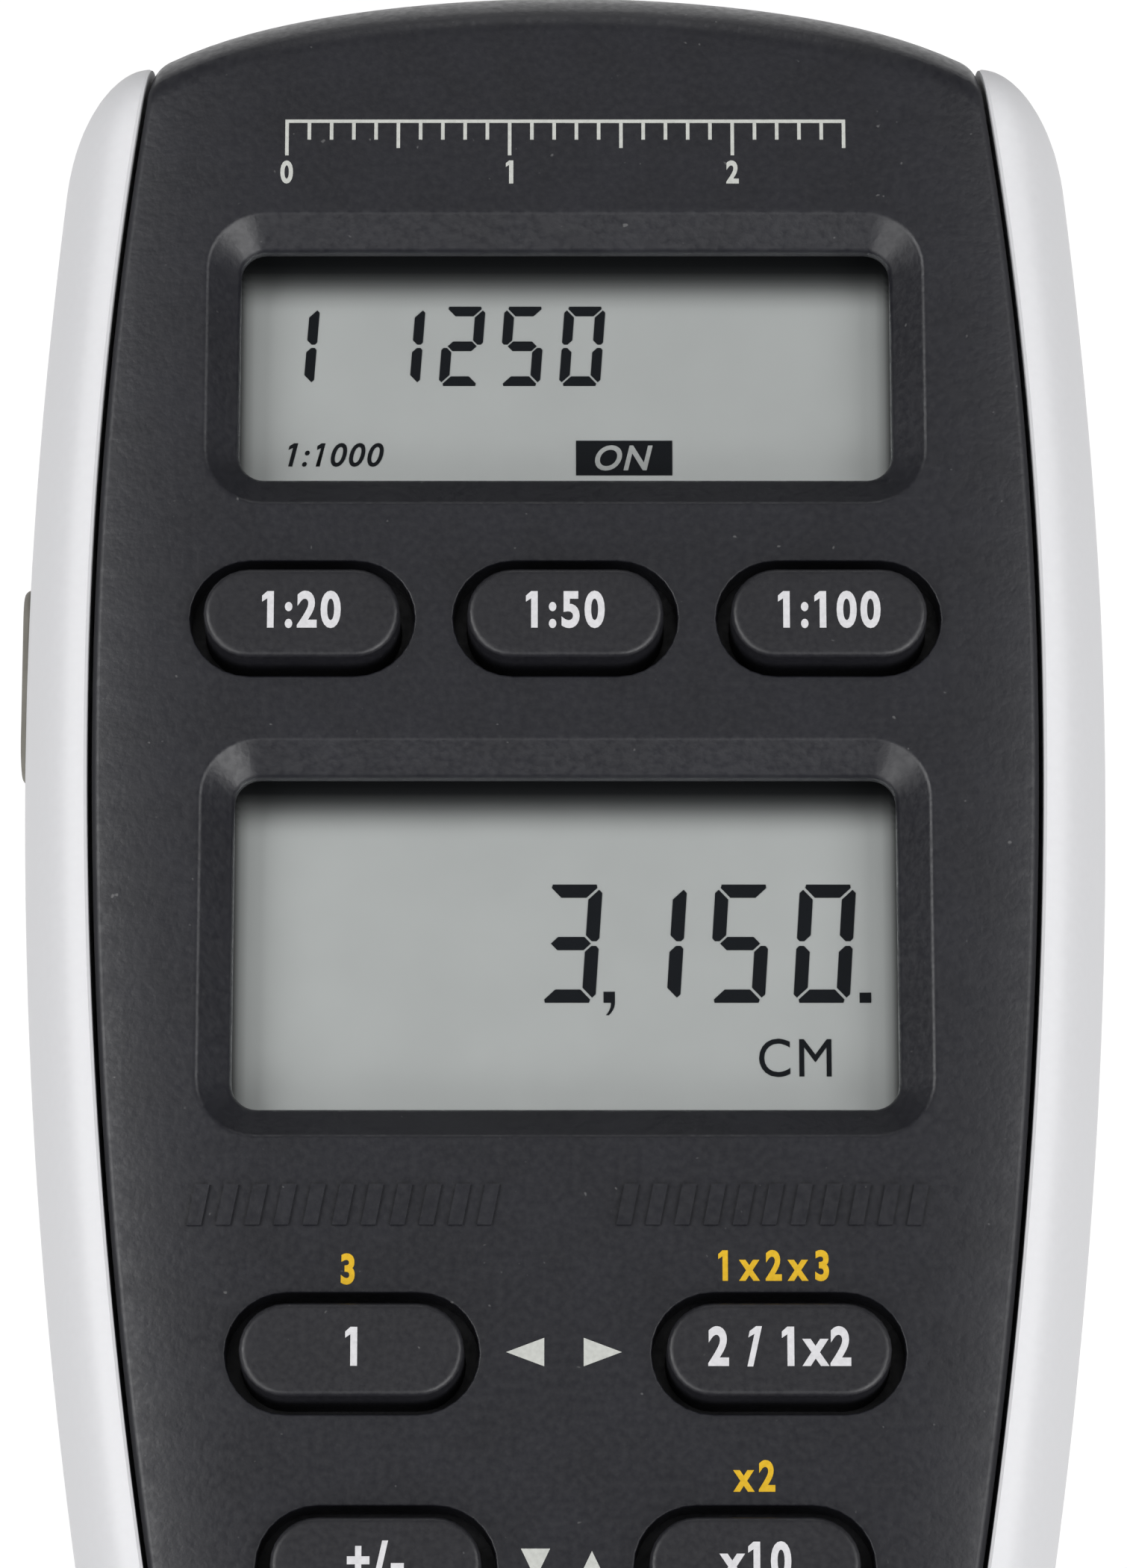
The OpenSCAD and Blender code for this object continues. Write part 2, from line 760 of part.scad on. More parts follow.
// One key: a cap with a rounded top edge, a flange under the face and a post on its dome
function key_profile(half, low, high) = [
    [0, low], [half, low],
    for (a = [0, 30, 60, 90])
        [half - key_round * (1 - cos(a)), high - key_round * (1 - sin(a))],
    [0, high]
];
module key_cap(width, height, low, high) {
    profile = key_profile(height / 2, low, high);
    straight = width - height;
    for (side = [-1, 1])
        translate([side * straight / 2, 0, 0]) rotate_extrude() polygon(profile);
    translate([-straight / 2, 0, 0])
        rotate([90, 0, 90]) linear_extrude(straight)
            polygon([
                for (p = profile) p,
                for (i = [len(profile) - 2 : -1 : 1]) [-profile[i][0], profile[i][1]]
            ]);
}
module key(place) {
    width = place[2] - 2 * key_gap;
    height = key_height - 2 * key_gap;
    cap_top = body_thickness + key_rise;
    color(key_rubber)
        translate([place[0], place[1], 0]) {
            key_cap(width, height, flange_top - touch, cap_top);
            translate([0, 0, flange_top - flange_thickness])
                linear_extrude(flange_thickness)
                    stadium(place[2] + 2 * flange_overlap, key_height + 2 * flange_overlap);
            translate([0, 0, dome_top + touch])
                cylinder(r = post_radius, h = flange_top - dome_top - 2 * touch);
        }
}
module function_key_left() { key(function_key_at(-1)); }
module function_key_middle() { key(function_key_at(0)); }
module function_key_right() { key(function_key_at(1)); }
module first_row_key_left() { key(pair_key_at(0, -1)); }
module first_row_key_right() { key(pair_key_at(0, 1)); }
module second_row_key_left() { key(pair_key_at(1, -1)); }
module second_row_key_right() { key(pair_key_at(1, 1)); }
module third_row_key_left() { key(pair_key_at(2, -1)); }
module third_row_key_right() { key(pair_key_at(2, 1)); }

// The side button slides in the left rail and presses a switch on the board's edge
module side_button() {
    flange = flange_depth - side_button_travel - fit;
    color([0.3, 0.3, 0.3])
        translate([0, side_button_y, side_button_z]) {
            translate([button_tip_x, 0, 0])
                rotate([90, 0, 90]) linear_extrude(button_flange_x - button_tip_x + touch)
                    stadium(side_button_length, side_button_height);
            translate([
                button_flange_x, -side_button_length / 2 - flange_reach,
                -side_button_height / 2 - flange_reach
            ])
                cube([
                    flange, side_button_length + 2 * flange_reach,
                    side_button_height + 2 * flange_reach
                ]);
            translate([button_flange_x, -plunger_half_width, -plunger_half_height])
                cube([
                    switch_x - side_button_travel - touch - button_flange_x,
                    2 * plunger_half_width, 2 * plunger_half_height
                ]);
        }
}
module side_switch() {
    height = 2 * (side_button_z - board_top) - 0.2;
    color([0.75, 0.75, 0.75])
        translate([switch_x, side_button_y, board_top + touch]) {
            translate([switch_stub, -switch_length / 2, 0])
                cube([switch_depth, switch_length, height]);
            translate([0, -1, side_button_z - board_top - 0.7]) cube([switch_stub + touch, 2, 1.2]);
        }
}

// The wheel turns on an upright axle in two bushes, with the slotted disc above it
module wheel_hub() {
    spoke_holes = 6;
    groove = 0.3;
    color(bright_metal)
        translate([0, wheel_y, wheel_z - wheel_thickness / 2])
        difference() {
            cylinder(r = hub_radius, h = wheel_thickness);
            translate([0, 0, -over]) cylinder(r = axle_radius + 0.01, h = wheel_thickness + 2 * over);
            for (z = [-over, wheel_thickness - groove])
                translate([0, 0, z]) difference() {
                    cylinder(r = hub_radius - 0.8, h = groove + over);
                    translate([0, 0, -over]) cylinder(r = axle_radius + 1, h = groove + 3 * over);
                }
            for (i = [0 : spoke_holes - 1])
                rotate(360 * i / spoke_holes)
                    translate([(hub_radius + axle_radius) / 2, 0, -over])
                    cylinder(r = 0.8, h = wheel_thickness + 2 * over);
        }
}
module wheel_tyre() {
    width = wheel_thickness - 0.4;
    bevel = 0.4;
    color([0.08, 0.08, 0.08])
        translate([0, wheel_y, wheel_z])
        rotate_extrude()
        polygon([
            [hub_radius + 0.01, -width / 2], [wheel_radius - bevel, -width / 2],
            [wheel_radius, -width / 2 + bevel], [wheel_radius, width / 2 - bevel],
            [wheel_radius - bevel, width / 2], [hub_radius + 0.01, width / 2]
        ]);
}
module wheel_axle() {
    color([0.75, 0.75, 0.78])
        translate([0, wheel_y, rear_bush_base + touch])
        cylinder(r = axle_radius, h = front_bush_top - rear_bush_base - 2 * touch);
}
module axle_washers() {
    inner = axle_radius + axle_clearance;
    color([0.9, 0.9, 0.85])
        for (span = [
            [rear_bush_top, wheel_z - wheel_thickness / 2],
            [disc_z + disc_thickness, front_bush_base]
        ])
            tube_at([0, wheel_y], washer_radius, inner, span[0] + fit, span[1] - fit);
}
module encoder_disc() {
    slot_width = 0.4;
    slot_inner = axle_boss_radius + 0.4;
    slot_length = disc_diameter / 2 - 0.4 - slot_inner;
    color([0.15, 0.15, 0.15])
        translate([0, wheel_y, disc_z])
        difference() {
            cylinder(r = disc_diameter / 2, h = disc_thickness);
            translate([0, 0, -over]) cylinder(r = axle_radius + 0.01, h = disc_thickness + 2 * over);
            for (i = [0 : disc_slots - 1])
                rotate(360 * i / disc_slots)
                    translate([slot_inner, -slot_width / 2, -over])
                    cube([slot_length, slot_width, disc_thickness + 2 * over]);
        }
}
module front_axle_bush() {
    color([0.75, 0.6, 0.3])
        tube_at(
            [0, wheel_y], bush_diameter / 2, axle_radius + axle_clearance,
            front_bush_base, front_bush_top
        );
}
module rear_axle_bush() {
    color([0.75, 0.6, 0.3])
        tube_at(
            [0, wheel_y], bush_diameter / 2, axle_radius + axle_clearance,
            rear_bush_base, rear_bush_top
        );
}
module light_sensor() {
    width = 3.6;
    arm = 0.9;
    gap = 0.4;
    base_depth = 2;
    base_y = board_end_y + 0.2;
    tip_y = wheel_y + axle_boss_radius + 0.3;
    top_z = disc_z + disc_thickness + gap + arm;
    color([0.12, 0.12, 0.14]) {
        translate([-width / 2, base_y, board_top + touch])
            cube([width, base_depth, top_z - board_top - touch]);
        translate([-width / 2, tip_y, top_z - arm]) cube([width, base_y - tip_y + touch, arm]);
    }
}

// The round door turns to free its lugs; its cup holds the cell, and a coin turns it
module battery_door() {
    slot_length = door_radius;
    slot_width = 1.6;
    slot_depth = 0.6;
    color(dark_plastic)
        translate([0, door_y, 0])
        difference() {
            union() {
                cylinder(r = door_radius, h = door_thickness);
                cylinder(r = door_cup + door_cup_wall, h = cup_top);
                for (i = [0 : lug_count - 1])
                    rotate(360 * i / lug_count)
                        translate([0, 0, face_wall + fit])
                        lug_sector(lug_half_angle, lug_radius, lug_height);
            }
            translate([0, 0, door_thickness]) cylinder(r = door_cup, h = cup_top);
            translate([-slot_length / 2, -slot_width / 2, -over])
                cube([slot_length, slot_width, slot_depth + over]);
        }
}
module coin_cell() {
    rim = 0.9;
    color([0.8, 0.8, 0.82])
        translate([0, door_y, cell_base]) {
            cylinder(r = cell_radius, h = cell_thickness - rim);
            translate([0, 0, cell_thickness - rim - touch])
                cylinder(r = cell_radius - 1.4, h = rim + touch);
        }
}
contact_thickness = 0.3;
module battery_minus_spring() {
    pad = 4;
    reach = 2.2;
    top = board_base - touch;
    low = cell_base + cell_thickness + touch;
    color([0.8, 0.75, 0.6])
        translate([0, door_y, 0]) {
            translate([-pad / 2, reach, top - contact_thickness]) cube([pad, pad, contact_thickness]);
            translate([-pad / 2, reach, low]) cube([pad, contact_thickness, top - low]);
            translate([-pad / 2, -reach, low])
                cube([pad, 2 * reach + contact_thickness, contact_thickness]);
        }
}
module battery_plus_clip() {
    width = 5;
    foot = 3;
    top = board_base - touch;
    low = cup_top + 0.15;
    x = cell_radius + 0.1;
    color([0.8, 0.75, 0.6])
        translate([0, door_y, 0]) {
            translate([x, -width / 2, low]) cube([contact_thickness, width, top - low]);
            translate([x, -width / 2, top - contact_thickness]) cube([foot, width, contact_thickness]);
        }
}

module cover_screws() {
    slot = 0.5;
    head_base = head_sink;
    color([0.6, 0.6, 0.62])
        for (place = screw_places)
            translate([place[0], place[1], head_base])
                difference() {
                    union() {
                        cylinder(r = head_radius_of_screw, h = head_height);
                        cylinder(r = screw_radius, h = screw_tip - head_base);
                    }
                    for (turn = [0, 90])
                        rotate(turn) translate([-head_radius_of_screw * 0.6, -slot / 2, -over])
                            cube([head_radius_of_screw * 1.2, slot, over + 0.7]);
                }
}

module upper_display_window() { display_window(upper_display_y, upper_window_height); }
module lower_display_window() { display_window(lower_display_y, lower_window_height); }
module upper_display_glass() { display_glass(upper_display_y, upper_window_height); }
module lower_display_glass() { display_glass(lower_display_y, lower_window_height); }
module upper_display_frame() { display_frame(upper_display_y, upper_window_height); }
module lower_display_frame() { display_frame(lower_display_y, lower_window_height); }
module upper_contact_strip() { contact_strip(upper_display_y, upper_window_height); }
module lower_contact_strip() { contact_strip(lower_display_y, lower_window_height); }

front_cover();
rear_cover();
left_side_rail();
right_side_rail();
upper_display_window();
lower_display_window();
upper_display_glass();
lower_display_glass();
upper_display_frame();
lower_display_frame();
upper_contact_strip();
lower_contact_strip();
circuit_board();
main_chip();
crystal();
board_capacitors();
upper_key_mat();
lower_key_mat();
function_key_left();
function_key_middle();
function_key_right();
first_row_key_left();
first_row_key_right();
second_row_key_left();
second_row_key_right();
third_row_key_left();
third_row_key_right();
side_button();
side_switch();
wheel_hub();
wheel_tyre();
wheel_axle();
axle_washers();
encoder_disc();
front_axle_bush();
rear_axle_bush();
light_sensor();
battery_door();
coin_cell();
battery_plus_clip();
battery_minus_spring();
cover_screws();
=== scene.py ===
"""Looks of a hand-held digital plan measure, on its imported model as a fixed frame.

Lengths are in millimetres up to the moment a mesh is made. +Y is towards the displays, +Z out of the face.
"""
import json
from math import cos, exp, pi, radians, sin, sqrt

import bmesh
import bpy
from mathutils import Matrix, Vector
from mathutils.geometry import delaunay_2d_cdt

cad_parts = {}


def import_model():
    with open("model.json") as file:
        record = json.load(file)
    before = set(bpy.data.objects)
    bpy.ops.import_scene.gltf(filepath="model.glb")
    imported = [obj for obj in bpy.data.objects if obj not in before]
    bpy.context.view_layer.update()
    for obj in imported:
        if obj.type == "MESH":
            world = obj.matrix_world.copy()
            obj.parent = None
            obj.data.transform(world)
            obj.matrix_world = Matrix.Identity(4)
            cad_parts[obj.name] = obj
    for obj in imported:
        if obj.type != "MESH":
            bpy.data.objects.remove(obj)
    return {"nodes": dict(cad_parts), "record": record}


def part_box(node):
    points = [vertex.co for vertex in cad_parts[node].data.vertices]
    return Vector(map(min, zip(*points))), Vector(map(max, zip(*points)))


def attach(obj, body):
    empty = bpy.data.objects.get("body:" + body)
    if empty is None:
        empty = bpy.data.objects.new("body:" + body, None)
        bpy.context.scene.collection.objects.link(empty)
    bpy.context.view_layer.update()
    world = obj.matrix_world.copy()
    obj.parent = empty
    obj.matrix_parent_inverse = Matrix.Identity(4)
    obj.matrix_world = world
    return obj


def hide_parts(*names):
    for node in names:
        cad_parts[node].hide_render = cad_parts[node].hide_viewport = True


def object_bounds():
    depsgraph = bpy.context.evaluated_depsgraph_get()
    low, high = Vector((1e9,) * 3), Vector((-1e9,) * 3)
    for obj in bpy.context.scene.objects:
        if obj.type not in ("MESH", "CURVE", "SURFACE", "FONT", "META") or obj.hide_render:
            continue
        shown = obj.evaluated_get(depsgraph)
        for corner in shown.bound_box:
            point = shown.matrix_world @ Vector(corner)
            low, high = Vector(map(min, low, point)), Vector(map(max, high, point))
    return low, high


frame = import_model()
cad_low, cad_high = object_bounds()

MM = 0.001


def node_box(node):
    """Lowest and highest corner of a CAD node, in millimetres."""
    low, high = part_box(node)
    return low / MM, high / MM


def node_middle(node):
    low, high = node_box(node)
    return (low + high) / 2


# Covers: where the frame has them, and the thicknesses and roundings they are moulded with
cover_low, cover_high = node_box("front_cover")
FACE_Z = cover_high.z
PARTING_Z = cover_low.z
TOP_Y = cover_high.y
COVER_HALF = cover_high.x
FACE_WALL = 1.8
ROOF_Z = FACE_Z - FACE_WALL
SIDE_WALL = 1.6
END_WALL = 2.2
SEAM_ROUND = 0.35
END_ROUND = 3
END_ROUND_HEIGHT = 5

# Outline: a curved top edge, a head arc and a waist arc along each flank, and a rounded nose
NOSE_LENGTH = 8.5
NOSE_HALF = 6.5
NOSE_POWER = 2.2
NOSE_SLOPE = 0.026
CROWN_DROP = 3.3
CROWN_SHARE = 0.78
CORNER_TRIM = 0.6
HEAD_RADIUS = 190
TURN_SHARE = 0.35
NOSE_Y = cover_low.y + NOSE_LENGTH
WIDEST_Y = TOP_Y - 33.5
CORNER_Y = TOP_Y - CROWN_DROP
FLANK_LENGTH = WIDEST_Y - NOSE_Y
TURN_Y = WIDEST_Y - TURN_SHARE * FLANK_LENGTH
TURN_SLOPE = 2 * (COVER_HALF - NOSE_HALF) / FLANK_LENGTH - NOSE_SLOPE * (1 - TURN_SHARE)
HEAD_BEND = TURN_SLOPE / (TURN_SHARE * FLANK_LENGTH)
WAIST_BEND = (TURN_SLOPE - NOSE_SLOPE) / ((1 - TURN_SHARE) * FLANK_LENGTH)
FLANK_STEPS = 84
CROWN_STEPS = 40
CORNER_STEPS = 8
NOSE_STEPS = 24

# The face falls off softly towards its long edges
EDGE_FALL = 0.5
EDGE_FALL_SHARE = 0.43
EDGE_FALL_DEPTH = 5

# Windows and keys
WINDOW_MARGIN = 1.4
WINDOW_SLOPE = 1.5
WINDOW_SLOPE_DEPTH = 1.25
LIP_HEIGHT = 0.55
WINDOW_CORNER = 1.1
LIP_UNDERCUT = 0.5
POCKET_FIT = 0.1
WINDOW_RIM = 1.1
INSIDE_FIT = 0.05
FLANGE_REACH = 0.5
FLANGE_THICKNESS = 0.7
FLANGE_EDGE = 0.15
KEY_GAP = 0.58
KEY_ROUND = 0.3
KEY_DRAFT = 0.06
KEY_POST_RADIUS = 1.6
PRINT = 0.02

# How far the opening over each window lies below the window's middle
WINDOWS = {"upper_display_window": 0, "lower_display_window": 0.15}
KEYS = [node for node in frame["nodes"] if "_key_" in node and not node.endswith("mat")]

# Screws, wheel and battery door; a rim in the back is given as steps of (outward, up)
SCREW_HALF_SPACING = 12
SCREW_ABOVE_WINDOW = 6
SCREW_BELOW_KEYS = 20
SCREW_ABOVE_NOSE = 24
SCREW_RADIUS = 1
SCREW_BORE_STOP = 1
SCREW_FIT = 0.15
SCREW_SINK_RADIUS = 2.1
SCREW_SINK_DEPTH = 1.6
SCREW_SINK_RIM = ((0.15, 0), (0.04, 0.04), (0, 0.15))
BOSS_RADIUS = 2.3
BOSS_LOW_Z = 7.2
BOARD_LOW_Z = 6
WHEEL_MIDDLE = node_middle("wheel_tyre")
AXLE_BOSS_RADIUS = 3.02
BUSH_BORE_RADIUS = 1.81
AXLE_STEPS = 46
DOOR_MIDDLE = node_middle("battery_door")
DOOR_STEPS = 120
DOOR_FIT = 0.15
DOOR_LEDGE = 1
DOOR_LEDGE_Z = 1.25
DOOR_RIM = ((0.25, 0), (0.07, 0.06), (0, 0.25))


# Outlines

def seam_half(y):
    """Half of the covers' width at a place along the body."""
    if y >= WIDEST_Y:
        return COVER_HALF - (y - WIDEST_Y) ** 2 / (2 * HEAD_RADIUS)
    if y >= TURN_Y:
        return COVER_HALF - HEAD_BEND * (WIDEST_Y - y) ** 2 / 2
    below = TURN_Y - y
    head = HEAD_BEND * (WIDEST_Y - TURN_Y) ** 2 / 2
    return COVER_HALF - head - TURN_SLOPE * below + WAIST_BEND * below ** 2 / 2


def crown(u):
    """Drop of the top edge at a share of the way from the middle to a corner."""
    return CROWN_DROP * (CROWN_SHARE * u ** 2 + (1 - CROWN_SHARE) * u ** 6)


def bend_point(start, pull, end, t):
    """A point on the curve from start to end that bends towards pull."""
    return tuple(a * (1 - t) ** 2 + c * 2 * t * (1 - t) + b * t * t for a, c, b in zip(start, pull, end))


def cover_outline(side, end):
    """The covers' outline, anticlockwise, drawn in by side along the flanks and by end at both ends."""
    corner = (seam_half(CORNER_Y - end) - side, CORNER_Y - end)
    last_y = corner[1] - CORNER_TRIM
    last = (seam_half(last_y) - side, last_y)
    u = 1 - CORNER_TRIM / corner[0]
    first = (corner[0] * u, TOP_Y - end - crown(u))
    tip = NOSE_LENGTH - end
    half = NOSE_HALF - side
    right = []
    for i in range(1, NOSE_STEPS + 1):
        a = pi / 2 * i / NOSE_STEPS
        right.append((half * sin(a) ** (2 / NOSE_POWER), NOSE_Y - tip * max(cos(a), 0) ** (2 / NOSE_POWER)))
    for i in range(1, FLANK_STEPS + 1):
        y = NOSE_Y + (last_y - NOSE_Y) * i / FLANK_STEPS
        right.append((seam_half(y) - side, y))
    right += [bend_point(last, corner, first, i / CORNER_STEPS) for i in range(1, CORNER_STEPS + 1)]
    for i in range(1, CROWN_STEPS // 2):
        v = u * (1 - 2 * i / CROWN_STEPS)
        right.append((corner[0] * v, TOP_Y - end - crown(v)))
    left = [(-x, y) for x, y in reversed(right)]
    return [(0, NOSE_Y - tip), *right, (0, TOP_Y - end), *left]


def edge_in(depth, radius, height):
    """How far a rounded edge draws in at a depth below its face."""
    if depth >= height:
        return 0
    return radius * (1 - sqrt(1 - (1 - depth / height) ** 2))


def rounding_depths():
    """Depths at which the covers' skin has a ring, fine along both roundings."""
    seam = [SEAM_ROUND * (1 - sin(radians(a))) for a in (90, 66, 44, 22, 0)]
    ends = [END_ROUND_HEIGHT * (1 - sin(radians(a))) for a in range(84, -1, -6)]
    depths = []
    for depth in sorted(seam + ends):
        if not depths or depth - depths[-1] > 0.015:
            depths.append(depth)
    return depths


def rounded_rect(width, height, radius, arc_steps=8, long_steps=16, short_steps=8):
    """A rectangle with round corners and evenly split sides, anticlockwise, about the origin."""
    points = []
    for quarter in range(4):
        cx = (width / 2 - radius) * (1 if quarter in (0, 3) else -1)
        cy = (height / 2 - radius) * (1 if quarter < 2 else -1)
        for i in range(arc_steps + 1):
            a = pi / 2 * (quarter + i / arc_steps)
            points.append((cx + radius * cos(a), cy + radius * sin(a)))
        x, y = points[-1]
        if quarter % 2 == 0:
            points += [(x - 2 * x * i / long_steps, y) for i in range(1, long_steps)]
        else:
            points += [(x, y - 2 * y * i / short_steps) for i in range(1, short_steps)]
    return points


def stadium(width, height):
    """A flat shape with two round ends, anticlockwise, about the origin."""
    arc_steps = 14
    side_steps = 6
    radius = height / 2
    reach = width / 2 - radius
    points = []
    for side in (1, -1):
        for i in range(arc_steps + 1):
            a = pi * i / arc_steps - pi / 2
            points.append((side * (reach + radius * cos(a)), side * radius * sin(a)))
        for i in range(1, side_steps):
            points.append((side * reach * (1 - 2 * i / side_steps), side * radius))
    return points


def grown_stadium(width, height):
    """Gives a function: the stadium of this size, grown all round by what it is called with."""
    return lambda grow: stadium(width + 2 * grow, height + 2 * grow)


def circle(radius, steps=48):
    return [(radius * cos(2 * pi * i / steps), radius * sin(2 * pi * i / steps)) for i in range(steps)]


def door_circle(radius):
    return circle(radius, DOOR_STEPS)


def extent(points):
    """Lowest x and y and highest x and y of some points."""
    across, along = zip(*(point[:2] for point in points))
    return min(across), min(along), max(across), max(along)


def rectangle(low_x, low_y, high_x, high_y):
    return [(low_x, low_y), (high_x, low_y), (high_x, high_y), (low_x, high_y)]


def shifted(outline, x, y):
    return [(px + x, py + y) for px, py in outline]


def softened(corners, steps=4):
    """A profile through (along, up, rounding) corners, each rounding a short curve; its ends have none."""
    path = []
    for i, (u, v, rounding) in enumerate(corners):
        if rounding == 0:
            path.append((u, v))
            continue
        here = Vector((u, v))
        before = Vector(corners[i - 1][:2]) - here
        after = Vector(corners[i + 1][:2]) - here
        start = here + before.normalized() * min(rounding, before.length / 2)
        end = here + after.normalized() * min(rounding, after.length / 2)
        path.extend(bend_point(start, here, end, k / steps) for k in range(steps + 1))
    return path


# Meshes

def in_scene(name, data):
    """A new object of this data, linked to the scene."""
    obj = bpy.data.objects.new(name, data)
    bpy.context.scene.collection.objects.link(obj)
    return obj


def face_fall(x, y, z):
    """The height z after the face's soft fall towards its long edges."""
    half = seam_half(y)
    inward = (half - abs(x)) / (half * EDGE_FALL_SHARE)
    depth_share = (z - FACE_Z + EDGE_FALL_DEPTH) / EDGE_FALL_DEPTH
    if inward >= 1 or depth_share <= 0:
        return z
    return z - EDGE_FALL * (1 - max(inward, 0)) ** 3 * min(depth_share, 1)


# How delaunay_2d_cdt fills: within the outermost edges, with points this near taken as one
INSIDE_ONLY = 1
SAME_POINT = 1e-9


def within(points, x, y):
    """Whether a place lies inside a closed outline."""
    crossed = False
    for (ax, ay), (bx, by) in zip(points, points[1:] + points[:1]):
        if (ay > y) != (by > y) and x < ax + (bx - ax) * (y - ay) / (by - ay):
            crossed = not crossed
    return crossed


class Skin:
    """A mesh in the making: loops of points, bands between loops, and flats with holes."""

    def __init__(self, fall=None):
        self.mesh = bmesh.new()
        self.fall = fall or (lambda x, y, z: z)

    def point(self, x, y, z):
        return self.mesh.verts.new((x * MM, y * MM, self.fall(x, y, z) * MM))

    def loop(self, outline, z):
        return [self.point(x, y, z) for x, y in outline]

    def band(self, first, second):
        for i in range(len(first)):
            j = (i + 1) % len(first)
            self.mesh.faces.new((first[i], first[j], second[j], second[i]))

    def bands(self, loops):
        for first, second in zip(loops, loops[1:]):
            self.band(first, second)

    def stack(self, outline, place, profile):
        """Banded loops about a place, outline(size) at each (size, height) of the profile."""
        loops = [self.loop(shifted(outline(size), place[0], place[1]), z) for size, z in profile]
        self.bands(loops)
        return loops

    def lid(self, loop):
        self.mesh.faces.new(loop)

    def flat(self, outer, holes, z, spacing):
        """Fills an outer loop around its holes with small triangles, with points of its own in between."""
        corners = []
        edges = []
        for loop in (outer, *holes):
            start = len(corners)
            edges += [(start + i, start + (i + 1) % len(loop)) for i in range(len(loop))]
            corners += loop
        rims = [v.co.xy for v in corners]
        places = list(rims)
        low_x, low_y, high_x, high_y = extent(rims)
        step = spacing * MM
        taken = {(round(p.x / step), round(p.y / step)) for p in rims}
        for row in range(int(low_y / step), int(high_y / step) + 1):
            for column in range(int(low_x / step), int(high_x / step) + 1):
                if (column, row) not in taken:
                    places.append(Vector((column * step, row * step)))
        found, _, faces, origins, _, _ = delaunay_2d_cdt(places, edges, [], INSIDE_ONLY, SAME_POINT)
        gaps = [[tuple(v.co.xy) for v in loop] for loop in holes]
        made = {}
        for i, origin in enumerate(origins):
            if origin and min(origin) < len(corners):
                made[i] = corners[min(origin)]
        for face in faces:
            middle = sum((found[i] for i in face), Vector((0, 0))) / len(face)
            if any(within(gap, *middle) for gap in gaps):
                continue
            for i in face:
                if i not in made:
                    made[i] = self.point(found[i].x / MM, found[i].y / MM, z)
            self.mesh.faces.new([made[i] for i in face])

    def to_object(self, name):
        bmesh.ops.recalc_face_normals(self.mesh, faces=self.mesh.faces)
        data = bpy.data.meshes.new(name)
        self.mesh.to_mesh(data)
        self.mesh.free()
        return in_scene(name, data)


def carve(obj, tools, operation="DIFFERENCE"):
    """Cuts the tools' shapes out of a piece, or adds them to it, and removes the tools."""
    for tool in tools:
        modifier = obj.modifiers.new("Carve", "BOOLEAN")
        modifier.operation = operation
        modifier.solver = "EXACT"
        modifier.object = tool
    bpy.context.view_layer.update()
    cut = obj.evaluated_get(bpy.context.evaluated_depsgraph_get())
    data = bpy.data.meshes.new_from_object(cut)
    obj.modifiers.clear()
    obj.data = data
    for tool in tools:
        bpy.data.objects.remove(tool)


def capped(skin, loops, name="Tool"):
    """The object that banded loops make when both ends are closed."""
    skin.bands(loops)
    skin.lid(loops[0])
    skin.lid(loops[-1])
    return skin.to_object(name)


def prism(outline, low, high):
    """A straight upright solid on an outline of (x, y) points."""
    skin = Skin()
    return capped(skin, [skin.loop(outline, z) for z in (low, high)])


def side_prism(outline, low_x, high_x):
    """A straight solid along x on an outline of (y, z) points."""
    skin = Skin()
    return capped(skin, [[skin.point(x, y, z) for y, z in outline] for x in (low_x, high_x)])


def dress(obj, slot, body, nodes=(), sharp=32):
    """Shades a piece, paints it, and sets it on its body."""
    obj.data.shade_smooth()
    obj.data.set_sharp_from_angle(angle=radians(sharp))
    modifier = obj.modifiers.new("Normals", "WEIGHTED_NORMAL")
    modifier.keep_sharp = True
    obj.data.materials.clear()
    obj.data.materials.append(MATERIALS[slot])
    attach(obj, body)
    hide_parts(*nodes)


# Materials: a colour is the record's, or one matched to the picture where it is given here
RECORD_COLOURS = {entry["slot"]: tuple(entry["base_color"][:3]) for entry in frame["record"]["materials"]}
CHARCOAL = (0.0115, 0.0118, 0.016)
BLACK_RUBBER = (0.013, 0.013, 0.0165)
GREY_RUBBER = (0.2, 0.19, 0.165)
PANE_TINT = (0.03, 0.035, 0.035)
# Colour of the display sheets where their painted light is fullest; their painted shade darkens it elsewhere
SHEET_GREY = (0.95, 0.99, 0.975)
# Colour and gloss of each print
PRINTS = {
    "white_print": ((0.65, 0.645, 0.665), 0.5),
    "pale_print": ((0.52, 0.53, 0.50), 0.5),
    "yellow_print": ((0.71, 0.43, 0.008), 0.5),
    "display_ink": ((0.001, 0.002, 0.005), 0.15),
    "display_letter": ((0.56, 0.58, 0.57), 0.15),
}
# Sockets of the Mix node when it mixes colours
MIX_FIRST_COLOUR = 6
MIX_SECOND_COLOUR = 7
MIX_RESULT_COLOUR = 2


